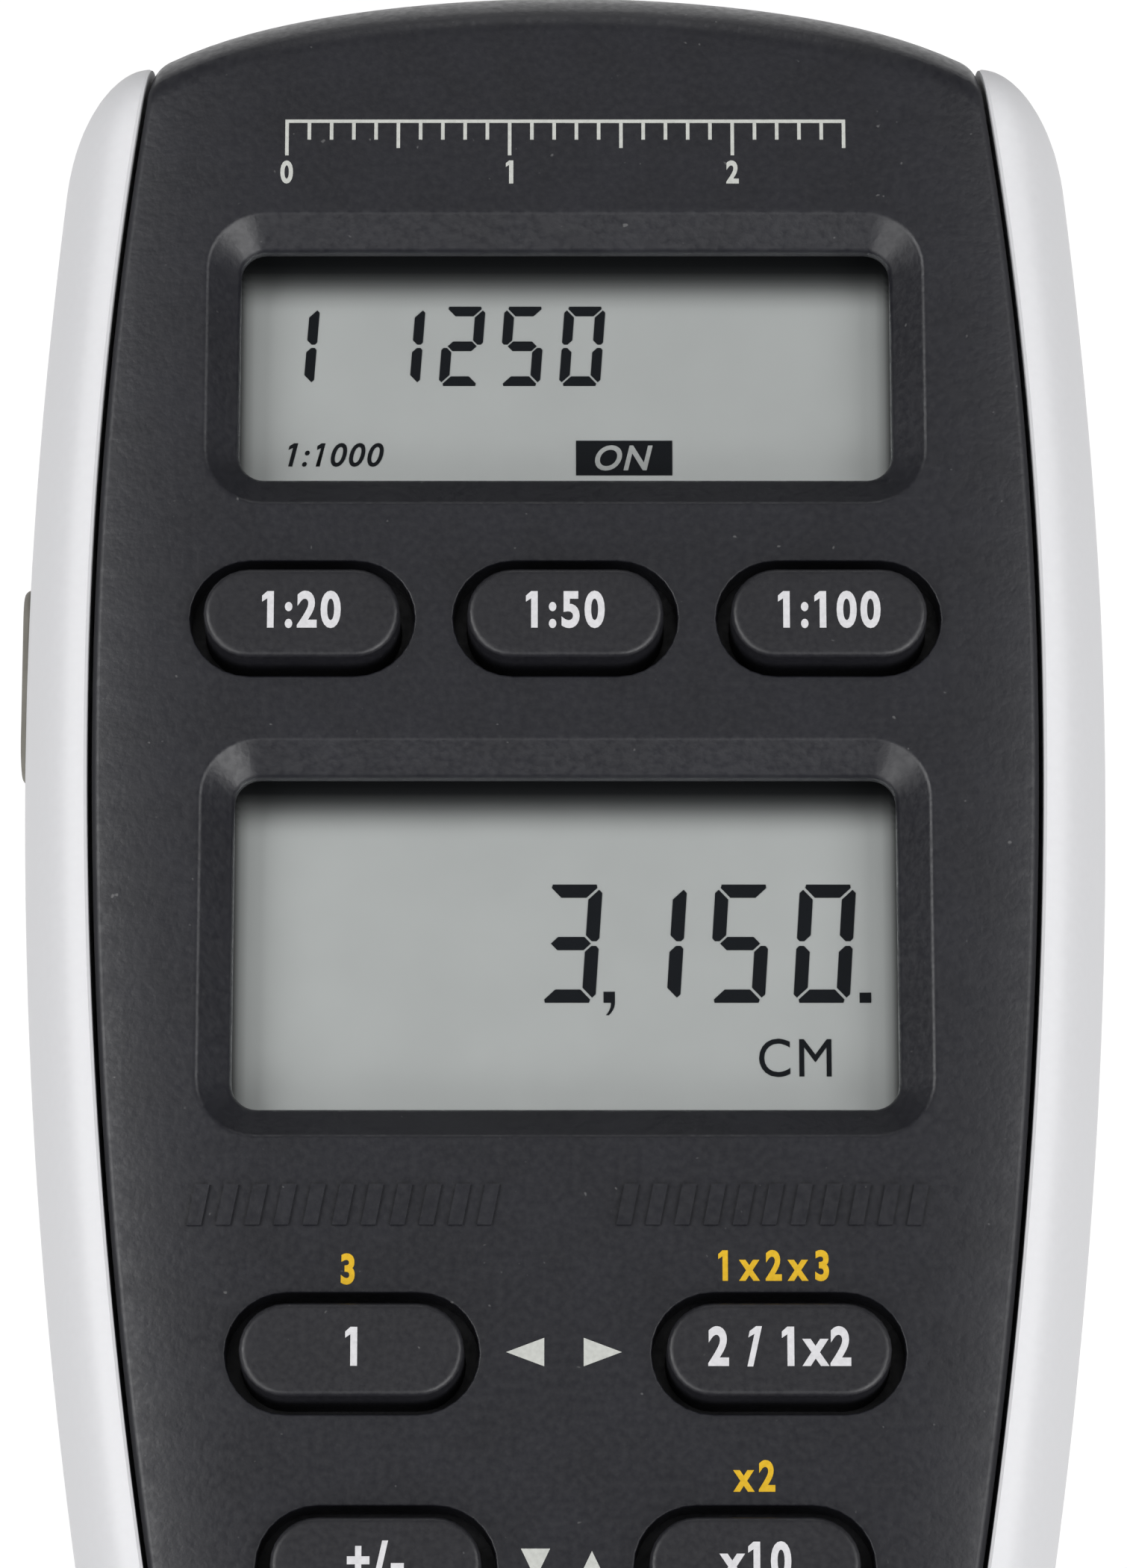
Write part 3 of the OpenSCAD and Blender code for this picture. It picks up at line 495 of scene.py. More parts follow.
class Paint:
    """A Principled material with noise on its colour, roughness and relief."""

    def __init__(self, slot, colour=None, metallic=0.0, gloss=0.5):
        self.slot = slot
        self.material = bpy.data.materials.new("look_" + slot)
        self.material.use_nodes = True
        self.nodes = self.material.node_tree.nodes
        self.links = self.material.node_tree.links
        self.shader = self.nodes["Principled BSDF"]
        self.shader.inputs["Metallic"].default_value = metallic
        self.shader.inputs["Specular IOR Level"].default_value = gloss
        self.colour = colour or RECORD_COLOURS[slot]
        self.place = self.nodes.new("ShaderNodeTexCoord").outputs["Object"]

    def stretch(self, x, y, z):
        node = self.nodes.new("ShaderNodeMapping")
        node.inputs["Scale"].default_value = (x, y, z)
        self.links.new(self.place, node.inputs["Vector"])
        self.place = node.outputs["Vector"]

    def noise(self, scale, detail=2.0):
        node = self.nodes.new("ShaderNodeTexNoise")
        node.inputs["Scale"].default_value = scale
        node.inputs["Detail"].default_value = detail
        self.links.new(self.place, node.inputs["Vector"])
        return node.outputs["Fac"]

    def ranged(self, value, low, high, to_low, to_high):
        node = self.nodes.new("ShaderNodeMapRange")
        sockets = ("From Min", "From Max", "To Min", "To Max")
        for socket, number in zip(sockets, (low, high, to_low, to_high)):
            node.inputs[socket].default_value = number
        self.links.new(value, node.inputs["Value"])
        return node.outputs["Result"]

    def tint(self, value, spread, specks=None, speck_and_shade_colour=(0.2, 0.2, 0.2)):
        """Colour that drifts by spread with value, mixed where asked towards a second colour: sparse light
        specks on moulded pieces, painted shade on the display sheets.
        """
        ramp = self.nodes.new("ShaderNodeValToRGB")
        ramp.color_ramp.elements[0].position = 0.32
        ramp.color_ramp.elements[1].position = 0.68
        for element, factor in zip(ramp.color_ramp.elements, (1 - spread, 1 + spread)):
            element.color = (*(channel * factor for channel in self.colour), 1)
        self.links.new(value, ramp.inputs["Fac"])
        colour = ramp.outputs["Color"]
        if specks is not None:
            mix = self.nodes.new("ShaderNodeMix")
            mix.data_type = "RGBA"
            mix.inputs[MIX_SECOND_COLOUR].default_value = (*speck_and_shade_colour, 1)
            self.links.new(specks, mix.inputs[0])
            self.links.new(colour, mix.inputs[MIX_FIRST_COLOUR])
            colour = mix.outputs[MIX_RESULT_COLOUR]
        self.links.new(colour, self.shader.inputs["Base Color"])

    def rough(self, value, roughness, spread):
        ranged = self.ranged(value, 0.3, 0.7, roughness - spread, roughness + spread)
        self.links.new(ranged, self.shader.inputs["Roughness"])

    def relief(self, value, height):
        node = self.nodes.new("ShaderNodeBump")
        node.inputs["Distance"].default_value = height * MM
        self.links.new(value, node.inputs["Height"])
        self.links.new(node.outputs["Normal"], self.shader.inputs["Normal"])


def moulded(slot, roughness, grain, height, spread=0.12, coarse=420, colour=None, gloss=0.5, specks=False):
    """Moulded plastic or rubber: a fine leather-like grain, faint drift of colour, and rare specks."""
    paint = Paint(slot, colour, gloss=gloss)
    grain_noise = paint.noise(grain, 3.0)
    drift = paint.noise(coarse, 4.0)
    speck_share = None
    if specks:
        speck_share = paint.ranged(paint.noise(2600, 1), low=0.785, high=0.83, to_low=0, to_high=0.4)
    paint.tint(drift, spread, speck_share)
    paint.rough(grain_noise, roughness, 0.07)
    paint.relief(grain_noise, height)
    return paint


def metal(slot, roughness, metallic=1.0, grain=2600.0, stretch=(1, 1, 1), height=0.004, spread=0.05):
    """Metal or metal paint with fine marks, drawn out along one direction where it is brushed or turned."""
    paint = Paint(slot, metallic=metallic)
    paint.stretch(*stretch)
    marks = paint.noise(grain, 3.0)
    paint.tint(marks, spread)
    paint.rough(marks, roughness, 0.06)
    paint.relief(marks, height)
    return paint


def flat_print(slot, colour, gloss):
    """Printing ink: slightly uneven and satin."""
    paint = Paint(slot, colour, gloss=gloss)
    blot = paint.noise(5200.0, 2.0)
    paint.tint(blot, 0.06)
    paint.rough(blot, 0.5, 0.08)
    return paint


def clear(slot, colour, alpha):
    """A clear pane: hardly any colour of its own, and a smooth front with faint ripples."""
    paint = Paint(slot, colour)
    ripple = paint.noise(90.0, 1.0)
    paint.tint(ripple, 0.03)
    paint.rough(ripple, 0.04, 0.01)
    paint.relief(ripple, 0.004)
    paint.shader.inputs["Alpha"].default_value = alpha
    return paint


# Name of the mesh attribute that carries the display sheets' painted shade and painted light
SHADE = "lip_shade"


def display_sheet(slot, colour):
    """The sheet of a display: satin, almost even, with painted shade where its mesh says that the lip shades
    it, and painted light towards its other edges.
    """
    paint = Paint(slot, colour, 0.6)
    cloud = paint.noise(300.0, 2.0)
    shade = paint.nodes.new("ShaderNodeAttribute")
    shade.attribute_name = SHADE
    # Painted shade: the colour goes towards near black as the attribute rises
    paint.tint(cloud, 0.008, shade.outputs["Fac"], (0.01, 0.01, 0.012))
    paint.rough(cloud, 0.4, 0.01)
    return paint


PAINTS = [
    moulded("charcoal_plastic", 0.38, 3000, 0.016, colour=CHARCOAL, gloss=0.6, specks=True),
    moulded("key_rubber", 0.4, 3600, 0.008, 0.08, colour=BLACK_RUBBER, gloss=0.6, specks=True),
    moulded("side_button_rubber", 0.6, 3600, 0.015, colour=GREY_RUBBER),
    moulded("mat_rubber", 0.6, 2200, 0.01),
    moulded("tyre_rubber", 0.65, 2600, 0.03),
    moulded("white_plastic", 0.45, 2400, 0.01, 0.03),
    moulded("pink_silicone", 0.5, 2400, 0.01),
    moulded("board_green", 0.35, 1800, 0.01, 0.2, 260),
    moulded("chip_black", 0.5, 4200, 0.01),
    moulded("capacitor_tan", 0.5, 3200, 0.01),
    moulded("washer_plastic", 0.4, 2600, 0.008, 0.03),
    moulded("disc_plastic", 0.45, 2600, 0.01),
    metal("silver_plastic", 0.46, 0, 2400, height=0.002, spread=0.012),
    metal("tin_plate", 0.35, stretch=(1, 8, 1)),
    metal("wheel_metal", 0.3),
    metal("steel", 0.22, stretch=(8, 8, 1)),
    metal("bush_brass", 0.32, stretch=(8, 8, 1)),
    metal("cell_steel", 0.28, stretch=(1, 10, 1)),
    metal("screw_steel", 0.34),
    clear("clear_window", PANE_TINT, alpha=0.08),
    display_sheet("display_glass", SHEET_GREY),
    *(flat_print(slot, *look) for slot, look in PRINTS.items()),
]
MATERIALS = {paint.slot: paint.material for paint in PAINTS}


# Covers: solids that join overlap a little, and cuts run out past what they cut
OVERLAP = 0.2
RUN_OUT = 1


def opening(node, margin):
    """Width and height of the opening over a node that reaches by a margin under the face."""
    low, high = node_box(node)
    return high.x - low.x - 2 * margin, high.y - low.y - 2 * margin


def window_middle(node):
    """Middle of the opening over a window."""
    return node_middle(node) - Vector((0, WINDOWS[node], 0))


def window_recess(skin, node):
    """The slope, the lip and the pocket of one window; returns its rims in the face and in the roof."""
    width, height = opening(node, WINDOW_MARGIN)
    low, high = node_box(node)
    reach = WINDOW_MARGIN + POCKET_FIT
    rim = reach + WINDOW_RIM
    lip_z = FACE_Z - WINDOW_SLOPE_DEPTH
    pocket_z = high.z + INSIDE_FIT
    face_ring = 0.2
    face_round = 0.15
    slope_round = 0.25
    lip_round = 0.1
    lip_draft = 0.03
    slope = softened([
        (WINDOW_SLOPE + face_ring, FACE_Z, 0),
        (WINDOW_SLOPE, FACE_Z, face_round),
        (0, lip_z, slope_round),
        (lip_draft, lip_z - LIP_HEIGHT, lip_round),
        (LIP_UNDERCUT, pocket_z, 0),
    ])
    pocket = [(reach, pocket_z), (reach, low.z), (rim, low.z), (rim, ROOF_Z)]

    def outline(grow):
        return rounded_rect(width + 2 * grow, height + 2 * grow, WINDOW_CORNER + grow)

    upper = skin.stack(outline, window_middle(node), slope)
    lower = skin.stack(outline, node_middle(node), pocket)
    skin.band(upper[-1], lower[0])
    return upper[0], lower[-1]


def key_hole(skin, node):
    """The hole for a key, with a ring of the face round it; returns its rims in the face and in the roof."""
    face_ring = 0.35
    rim_round = 0.1
    profile = softened([(face_ring, FACE_Z, 0), (0, FACE_Z, rim_round), (0, ROOF_Z, 0)])
    loops = skin.stack(grown_stadium(*opening(node, FLANGE_REACH)), node_middle(node), profile)
    return loops[0], loops[-1]


def screw_places():
    """Middles of the five screws, worked out from the displays, the keys and the nose."""
    _, window_high = node_box("upper_display_window")
    upper_y = window_high.y - WINDOW_MARGIN + SCREW_ABOVE_WINDOW
    first, second, third = (node_middle(row + "_row_key_left").y for row in ("first", "second", "third"))
    return [
        (-SCREW_HALF_SPACING, upper_y), (SCREW_HALF_SPACING, upper_y), (0, (first + second) / 2),
        (0, third - SCREW_BELOW_KEYS), (0, NOSE_Y + SCREW_ABOVE_NOSE),
    ]


def cover_rings(skin, outer_z, inner_z):
    """The banded rings of a cover, from its outer flat round the parting line to its inner flat."""
    inward = 1 if outer_z < PARTING_Z else -1
    rings = []
    for depth in rounding_depths():
        side = edge_in(depth, SEAM_ROUND, SEAM_ROUND)
        end = edge_in(depth, END_ROUND, END_ROUND_HEIGHT)
        rings.append(skin.loop(cover_outline(side, end), outer_z + inward * depth))
    rings.append(skin.loop(cover_outline(0, 0), PARTING_Z))
    rings += [skin.loop(cover_outline(SIDE_WALL, END_WALL), z) for z in (PARTING_Z, inner_z)]
    skin.bands(rings)
    return rings


def fit_axle(shell, boss, bore):
    """Adds a bush's boss and cuts the wheel's slot and the bush's bore; boss and bore are (low, high)."""
    def about_axle(radius):
        return shifted(circle(radius, AXLE_STEPS), WHEEL_MIDDLE.x, WHEEL_MIDDLE.y)

    carve(shell, [prism(about_axle(AXLE_BOSS_RADIUS), *boss)], "UNION")
    carve(shell, [wheel_slot(), prism(about_axle(BUSH_BORE_RADIUS), *bore)])


def wheel_slot():
    """The gap for the wheel through both covers."""
    hub_low, hub_high = node_box("wheel_hub")
    gap = 0.6
    wheel_radius = 7
    half_width = 9
    run_out = 30
    back_y = WHEEL_MIDDLE.y + wheel_radius + gap
    outline = rectangle(-half_width, back_y - run_out, half_width, back_y)
    return prism(outline, hub_low.z - gap, hub_high.z + gap)


def front_shell():
    skin = Skin(face_fall)
    rings = cover_rings(skin, FACE_Z, ROOF_Z)
    holes = [window_recess(skin, node) for node in WINDOWS] + [key_hole(skin, node) for node in KEYS]
    face_rims, roof_rims = map(list, zip(*holes))
    for place in screw_places():
        boss = skin.stack(circle, place, [
            (BOSS_RADIUS, ROOF_Z), (BOSS_RADIUS, BOSS_LOW_Z),
            (SCREW_RADIUS, BOSS_LOW_Z), (SCREW_RADIUS, ROOF_Z - SCREW_BORE_STOP),
        ])
        skin.lid(boss[-1])
        roof_rims.append(boss[0])
    skin.flat(rings[0], face_rims, FACE_Z, spacing=1)
    skin.flat(rings[-1], roof_rims, ROOF_Z, spacing=3)
    shell = skin.to_object("front_shell")
    low, high = node_box("front_axle_bush")
    fit_axle(shell, (low.z, ROOF_Z + OVERLAP), (low.z - RUN_OUT, high.z))
    dress(shell, "charcoal_plastic", "body", ["front_cover"])


def rear_shell():
    skin = Skin()
    rings = cover_rings(skin, 0, FACE_WALL)
    door_low, door_high = node_box("battery_door")
    wall = (door_high.x - door_low.x) / 2 + DOOR_FIT
    ledge = wall - DOOR_LEDGE
    door_profile = [(wall + outward, up) for outward, up in DOOR_RIM]
    door_profile += [(wall, DOOR_LEDGE_Z), (ledge, DOOR_LEDGE_Z), (ledge, FACE_WALL)]
    bore = SCREW_RADIUS + SCREW_FIT
    screw_profile = [(SCREW_SINK_RADIUS + outward, up) for outward, up in SCREW_SINK_RIM]
    screw_profile += [
        (SCREW_SINK_RADIUS, SCREW_SINK_DEPTH), (bore, SCREW_SINK_DEPTH), (bore, BOARD_LOW_Z),
        (BOSS_RADIUS, BOARD_LOW_Z), (BOSS_RADIUS, FACE_WALL),
    ]
    holes = [skin.stack(door_circle, DOOR_MIDDLE, door_profile)]
    holes += [skin.stack(circle, place, screw_profile) for place in screw_places()]
    skin.flat(rings[0], [loops[0] for loops in holes], 0, spacing=2)
    skin.flat(rings[-1], [loops[-1] for loops in holes], FACE_WALL, spacing=3)
    shell = skin.to_object("rear_shell")
    low, high = node_box("rear_axle_bush")
    fit_axle(shell, (FACE_WALL - OVERLAP, high.z), (low.z, high.z + RUN_OUT))
    dress(shell, "charcoal_plastic", "body", ["rear_cover"])


# Rails

SEAM_GAP = 0.2
RAIL_BULGE = 3.15
RAIL_FLARE = 0.45
RAIL_HALF_HEIGHT = 7.85
RAIL_POWER = 2.3
RAIL_TIP_Y = CORNER_Y - 0.2
RAIL_TAIL_Y = NOSE_Y - 1
RAIL_TIP_TAPER = 5.5
RAIL_TAIL_TAPER = 22
RAIL_TAPER_POWER = 2.2
RAIL_TIP_POWER = 4
RAIL_TAIL_POWER = 5
RAIL_STATIONS = 180
RAIL_SECTION_STEPS = 30
RAIL_END_SHARE = 0.9995
RAIL_EDGE = 0.12


def fade(u, power):
    """Falls from 1 to 0 as u goes from 0 to 1, along a curve that is rounder for a higher power."""
    return max(1 - max(u, 0) ** power, 0) ** (1 / power)


def rail_section(y):
    """The rail's D-shaped section at a place along the body, as (x, z) on the right-hand side."""
    flare = max((y - WIDEST_Y) / (RAIL_TIP_Y - WIDEST_Y), 0)
    up = (y - RAIL_TIP_Y + RAIL_TIP_TAPER) / RAIL_TIP_TAPER
    down = (RAIL_TAIL_Y + RAIL_TAIL_TAPER - y) / RAIL_TAIL_TAPER
    bulge = RAIL_BULGE + RAIL_FLARE * flare ** 3
    bulge *= fade(up, RAIL_TAPER_POWER) * fade(down, RAIL_TAPER_POWER)
    half = RAIL_HALF_HEIGHT * fade(up, RAIL_TIP_POWER) * fade(down, RAIL_TAIL_POWER)
    root = seam_half(y) + SEAM_GAP
    edge = min(RAIL_EDGE, bulge / 4, half / 4)
    middle_z = FACE_Z / 2
    section = [(root, middle_z - half + edge)]
    for i in range(RAIL_SECTION_STEPS + 1):
        a = pi * i / RAIL_SECTION_STEPS - pi / 2
        x = max(bulge * max(cos(a), 0) ** (2 / RAIL_POWER), edge)
        up_share = abs(sin(a)) ** (2 / RAIL_POWER)
        section.append((root + x, middle_z + half * up_share * (1 if a > 0 else -1)))
    section.append((root, middle_z + half - edge))
    return section


def rail(name, side):
    """A side rail, on the left for -1 and on the right for 1, with stations that crowd at its ends."""
    skin = Skin()
    middle_y = (RAIL_TIP_Y + RAIL_TAIL_Y) / 2
    reach = (RAIL_TIP_Y - RAIL_TAIL_Y) / 2 * RAIL_END_SHARE
    rings = []
    for i in range(RAIL_STATIONS + 1):
        y = middle_y - reach * cos(pi * i / RAIL_STATIONS)
        rings.append([skin.point(side * x, y, z) for x, z in rail_section(y)])
    obj = capped(skin, rings, name)
    if side < 0:
        carve(obj, [button_slot(), button_pocket()])
    dress(obj, "silver_plastic", "body", [name.replace("_rail", "_side_rail")], 40)


# Side button: its cap stands out a little less than the solid does
BUTTON_LOW, BUTTON_HIGH = node_box("side_button")
BUTTON_DROP = 0.25
BUTTON_FLANGE = 0.5
BUTTON_FIT = 0.1
BUTTON_FLANGE_FIT = 0.15
BUTTON_LENGTH = BUTTON_HIGH.y - BUTTON_LOW.y - 2 * BUTTON_FLANGE
BUTTON_HEIGHT = BUTTON_HIGH.z - BUTTON_LOW.z - 2 * BUTTON_FLANGE
BUTTON_Y = (BUTTON_LOW.y + BUTTON_HIGH.y) / 2
BUTTON_Z = (BUTTON_LOW.z + BUTTON_HIGH.z) / 2
BUTTON_FLANGE_X = -(COVER_HALF + 1.4)
BUTTON_CUT_X = -COVER_HALF + 2


def button_outline(grow):
    return shifted(grown_stadium(BUTTON_LENGTH, BUTTON_HEIGHT)(grow), BUTTON_Y, BUTTON_Z)


def button_slot():
    return side_prism(button_outline(BUTTON_FIT), BUTTON_LOW.x - RUN_OUT, BUTTON_CUT_X)


def button_pocket():
    half_length = BUTTON_LENGTH / 2 + BUTTON_FLANGE + BUTTON_FLANGE_FIT
    half_height = BUTTON_HEIGHT / 2 + BUTTON_FLANGE + BUTTON_FLANGE_FIT
    corners = shifted(rectangle(-half_length, -half_height, half_length, half_height), BUTTON_Y, BUTTON_Z)
    return side_prism(corners, BUTTON_FLANGE_X - BUTTON_FIT, BUTTON_CUT_X)


def side_button():
    skin = Skin()
    tip_x = BUTTON_LOW.x + BUTTON_DROP
    chamfer = 0.2
    inner_ring = (-0.9, tip_x + 0.03, 0)
    rim = [(-chamfer, tip_x, 0.15), (0, tip_x + chamfer, 0.1)]
    profile = softened([inner_ring, *rim, (0, BUTTON_FLANGE_X, 0)])
    loops = [[skin.point(x, y, z) for y, z in button_outline(grow)] for grow, x in profile]
    cap = capped(skin, loops, "side_button_cap")
    dress(cap, "side_button_rubber", "side_button", ["side_button"])


# Keys

def key_piece(node):
    """A rubber key: a stadium cap with a soft rim, a flange under the face, and a post."""
    low, high = node_box(node)
    middle = node_middle(node)
    top = high.z - PRINT
    top_ring = -1.4
    flange_low = ROOF_Z - INSIDE_FIT - FLANGE_THICKNESS
    flange_top = flange_low + FLANGE_EDGE
    profile = softened([
        (top_ring, top, 0),
        (-KEY_GAP - KEY_DRAFT, top, KEY_ROUND),
        (-KEY_GAP, flange_top, 0),
        (FLANGE_REACH, flange_top, 0),
        (FLANGE_REACH, flange_low, 0),
    ], 6)
    skin = Skin()
    loops = skin.stack(grown_stadium(*opening(node, FLANGE_REACH)), middle, profile)
    skin.lid(loops[0])
    post = skin.stack(circle, middle, [(KEY_POST_RADIUS, flange_low), (KEY_POST_RADIUS, low.z)])
    skin.flat(loops[-1], [post[0]], flange_low, spacing=3)
    skin.lid(post[1])
    dress(skin.to_object(node + "_cap"), "key_rubber", node, [node])


# Displays: how deep the marks lie, the painted shade of the lip on the sheet at its top and its sides, and
# the painted light that lifts the sheet towards its other edges
INK_DEPTH = 0.06
INK_THICKNESS = 0.03
SHADE_START = 0.25
SHADE_REACH = 2.25
SIDE_SHADE_START = 0.05
SIDE_SHADE_REACH = 0.2
MIDDLE_LIGHT = 0.8
EDGE_LIGHT = 0.3
EDGE_LIGHT_REACH = 2


def lip_shade(node, x, y):
    """How much painted shade a point of a display gets: 1 under the lip above, and least near the other
    edges, where painted light lifts the sheet above its middle.
    """
    width, height = opening(node, WINDOW_MARGIN)
    middle = window_middle(node)
    below_top = middle.y + height / 2 - y
    inside = width / 2 - abs(x - middle.x)
    to_edge = max(min(height - below_top, inside), 0)
    # Painted shade under the top lip and along the sides, and painted light towards the bottom and side
    # edges
    out = min(max((below_top + SHADE_START) / SHADE_REACH, 0), 1)
    lit = min(MIDDLE_LIGHT + EDGE_LIGHT * exp(-to_edge / EDGE_LIGHT_REACH), 1)
    lit *= out * out * (3 - 2 * out)
    lit *= 1 - exp(-max(inside + SIDE_SHADE_START, 0) / SIDE_SHADE_REACH)
    return 1 - lit


def display_cell(node):
    """The display's cell: a satin sheet just below the front of the glass, with painted shade under the lip
    and painted light towards its other edges.
    """
    low, high = node_box(node)
    top = high.z - INK_DEPTH
    corner = 0.3
    outline = rounded_rect(high.x - low.x, high.y - low.y, corner, arc_steps=3, long_steps=4, short_steps=4)
    outline = shifted(outline, *node_middle(node).xy)
    skin = Skin()
    loops = [skin.loop(outline, z) for z in (low.z, top)]
    skin.band(*loops)
    skin.lid(loops[0])
    skin.flat(loops[1], [], top, spacing=0.35)
    obj = skin.to_object(node.replace("_glass", "_cell"))
    # Each point's painted shade and painted light, which the sheet's colour follows
    shade = obj.data.attributes.new(SHADE, "FLOAT", "POINT")
    window = node.replace("_glass", "_window")
    for vertex, entry in zip(obj.data.vertices, shade.data):
        entry.value = lip_shade(window, vertex.co.x / MM, vertex.co.y / MM)
    dress(obj, "display_glass", "body", [node])


# Which of the segments a to g are lit for each digit
SEGMENTS = {
    "0": "abcdef", "1": "bc", "2": "abged", "3": "abgcd", "4": "fgbc", "5": "afgcd",
    "6": "afgecd", "7": "abc", "8": "abcdefg", "9": "abcdfg",
}


def segment(letter, width, height, stroke):
    """One bar of a digit with mitred ends, about its lower left corner; drawn with a stroke of 1."""
    wide = width / stroke
    tall = height / stroke
    middle = tall / 2
    gap = 0.1
    mitre = 0.14
    if letter == "g":
        shape = [
            (0.5 + gap, middle), (1 + gap, middle + 0.5), (wide - 1 - gap, middle + 0.5),
            (wide - 0.5 - gap, middle), (wide - 1 - gap, middle - 0.5), (1 + gap, middle - 0.5),
        ]
    elif letter in "ad":
        shape = [
            (0.35 + gap, tall), (wide - 0.35 - gap, tall), (wide - 0.25 - mitre, tall - 0.25),
            (wide - 1 - mitre, tall - 1), (1 + mitre, tall - 1), (0.25 + mitre, tall - 0.25),
        ]
    else:
        shape = [
            (0, middle + 0.4), (0.2, middle + 0.18), (0.55, middle + 0.18), (1, middle + 0.63),
            (1, tall - 1 - mitre), (0.25, tall - 0.25 - mitre), (0, tall - 0.5 - mitre),
        ]
    if letter in "bc":
        shape = [(wide - x, y) for x, y in shape]
    if letter in "cde":
        shape = [(x, tall - y) for x, y in shape]
    return [(x * stroke, y * stroke) for x, y in shape]


# Digits of both displays, in millimetres; slant is the lean per height
UPPER_DIGITS = {"height": 3.78, "width": 1.85, "pitch": 2.71, "stroke": 0.455, "slant": 0.07}
LOWER_DIGITS = {"height": 5.38, "width": 2.48, "pitch": 3.73, "stroke": 0.6, "slant": 0.065}
DISPLAY_TYPE = {"narrow": 0.95, "slant": 0.25}


def digits(text, left, low, height, width, pitch, stroke, slant):
    """The lit segments of a row of digits."""
    marks = []
    for place, character in enumerate(text):
        for letter in SEGMENTS.get(character, ""):
            shape = segment(letter, width, height, stroke)
            marks.append([(left + place * pitch + x + slant * y, low + y) for x, y in shape])
    return marks


# Printed marks: the flag's points as shares of the type's height from the top left of a 1
FLAG = ((-0.17, -0.12), (-0.17, -0.28), (0, -0.19))


def add_flags(points, shapes):
    """Gives each upright bar of type, which is how the built-in type draws a 1, its small flag."""
    tall = max(p.y for p in points) - min(p.y for p in points)
    groups = {}
    for shape in shapes:
        linked = [key for key in groups if any(i in groups[key] for i in shape)]
        merged = set(shape).union(*(groups.pop(key) for key in linked))
        groups[min(merged)] = merged
    for group in groups.values():
        bar = sorted(group, key=lambda i: (points[i].y, points[i].x))
        wide = max(points[i].x for i in group) - min(points[i].x for i in group)
        if len(bar) != 4 or points[bar[3]].y - points[bar[0]].y < 0.9 * tall or wide > 0.5 * tall:
            continue
        low_left, low_right, top_left, top_right = bar
        corner = points[top_left]
        lean = (corner.x - points[low_left].x) / tall
        start = len(points)
        for dx, dy in FLAG:
            points.append(Vector((corner.x + (dx + lean * dy) * tall, corner.y + dy * tall, 0)))
        shapes[:] = [shape for shape in shapes if not group.intersection(shape)]
        shapes.append([low_left, low_right, top_right, top_left, start, start + 1, start + 2])


def type_line(text, middle_x, middle_y, height, narrow=0.78, weight=0.034, slant=0.0, space=1.12):
    """A line of Blender's built-in type as flat polygons, about a middle and with a height."""
    curve = bpy.data.curves.new("Type", "FONT")
    curve.body = text
    curve.offset = weight
    curve.shear = slant
    curve.space_character = space
    curve.resolution_u = 5
    carrier = bpy.data.objects.new("Type", curve)
    data = bpy.data.meshes.new_from_object(carrier)
    points = [vertex.co.copy() for vertex in data.vertices]
    shapes = [list(polygon.vertices) for polygon in data.polygons]
    bpy.data.objects.remove(carrier)
    if "1" in text:
        add_flags(points, shapes)
    low_x, low_y, high_x, high_y = extent(points)
    type_x, type_y = (low_x + high_x) / 2, (low_y + high_y) / 2
    scale = height / (high_y - low_y)
    placed = [
        (middle_x + (p.x - type_x) * scale * narrow, middle_y + (p.y - type_y) * scale) for p in points
    ]
    return [[placed[i] for i in shape] for shape in shapes]


def marks_piece(name, marks, slot, body, z, thickness, fall=None):
    """Flat marks with a little thickness, as one closed piece that stands on z."""
    skin = Skin(fall)
    made = {}
    faces = []
    for mark in marks:
        verts = []
        for x, y in mark:
            key = (round(x, 4), round(y, 4))
            if key not in made:
                made[key] = skin.point(x, y, z)
            if made[key] not in verts:
                verts.append(made[key])
        if len(verts) > 2 and skin.mesh.faces.get(verts) is None:
            faces.append(skin.mesh.faces.new(verts))
    for edge in skin.mesh.edges:
        while len(edge.link_faces) > 2:
            sliver = min(edge.link_faces, key=lambda face: face.calc_area())
            faces.remove(sliver)
            skin.mesh.faces.remove(sliver)
    grown = bmesh.ops.extrude_face_region(skin.mesh, geom=faces)
    tops = [item for item in grown["geom"] if isinstance(item, bmesh.types.BMVert)]
    bmesh.ops.translate(skin.mesh, verts=tops, vec=(0, 0, thickness * MM))
    dress(skin.to_object(name), slot, body, sharp=20)


def triangle(x, y, width, height, direction):
    """A small arrow head about its middle; direction is (1, 0) for one that points right."""
    dx, dy = direction
    half_x, half_y = width / 2, height / 2
    across, along = abs(dy) * half_x, abs(dx) * half_y
    back_x, back_y = x - dx * half_x, y - dy * half_y
    tip = (x + dx * half_x, y + dy * half_y)
    return [tip, (back_x - across, back_y + along), (back_x + across, back_y - along)]


def display_place(node):
    """Where the middle of a display is along the body, and the height its marks stand on."""
    _, high = node_box(node)
    return node_middle(node).y, high.z - INK_DEPTH


def upper_display_marks():
    """Two groups of digits, a scale below them, and a light word on a dark bar."""
    middle_y, ink_z = display_place("upper_display_glass")
    base_y = middle_y - 0.02
    single_x, group_x, scale_x, word_x = -13.19, -8.42, -10.3, 2.63
    scale_y, word_y = middle_y - 3.29, middle_y - 3.44
    marks = digits("1", single_x, base_y, **UPPER_DIGITS) + digits("1250", group_x, base_y, **UPPER_DIGITS)
    marks += type_line("1:1000", scale_x, scale_y, height=1.12, weight=0.012, **DISPLAY_TYPE)
    marks.append(rectangle(word_x - 2.15, word_y - 0.82, word_x + 2.18, word_y + 0.82))
    marks_piece("upper_display_digits", marks, "display_ink", "body", ink_z, INK_THICKNESS)
    word = type_line("ON", word_x, word_y, height=1.2, weight=0.02, **DISPLAY_TYPE)
    marks_piece("upper_display_word", word, "display_letter", "body", ink_z + INK_THICKNESS, 0.005)


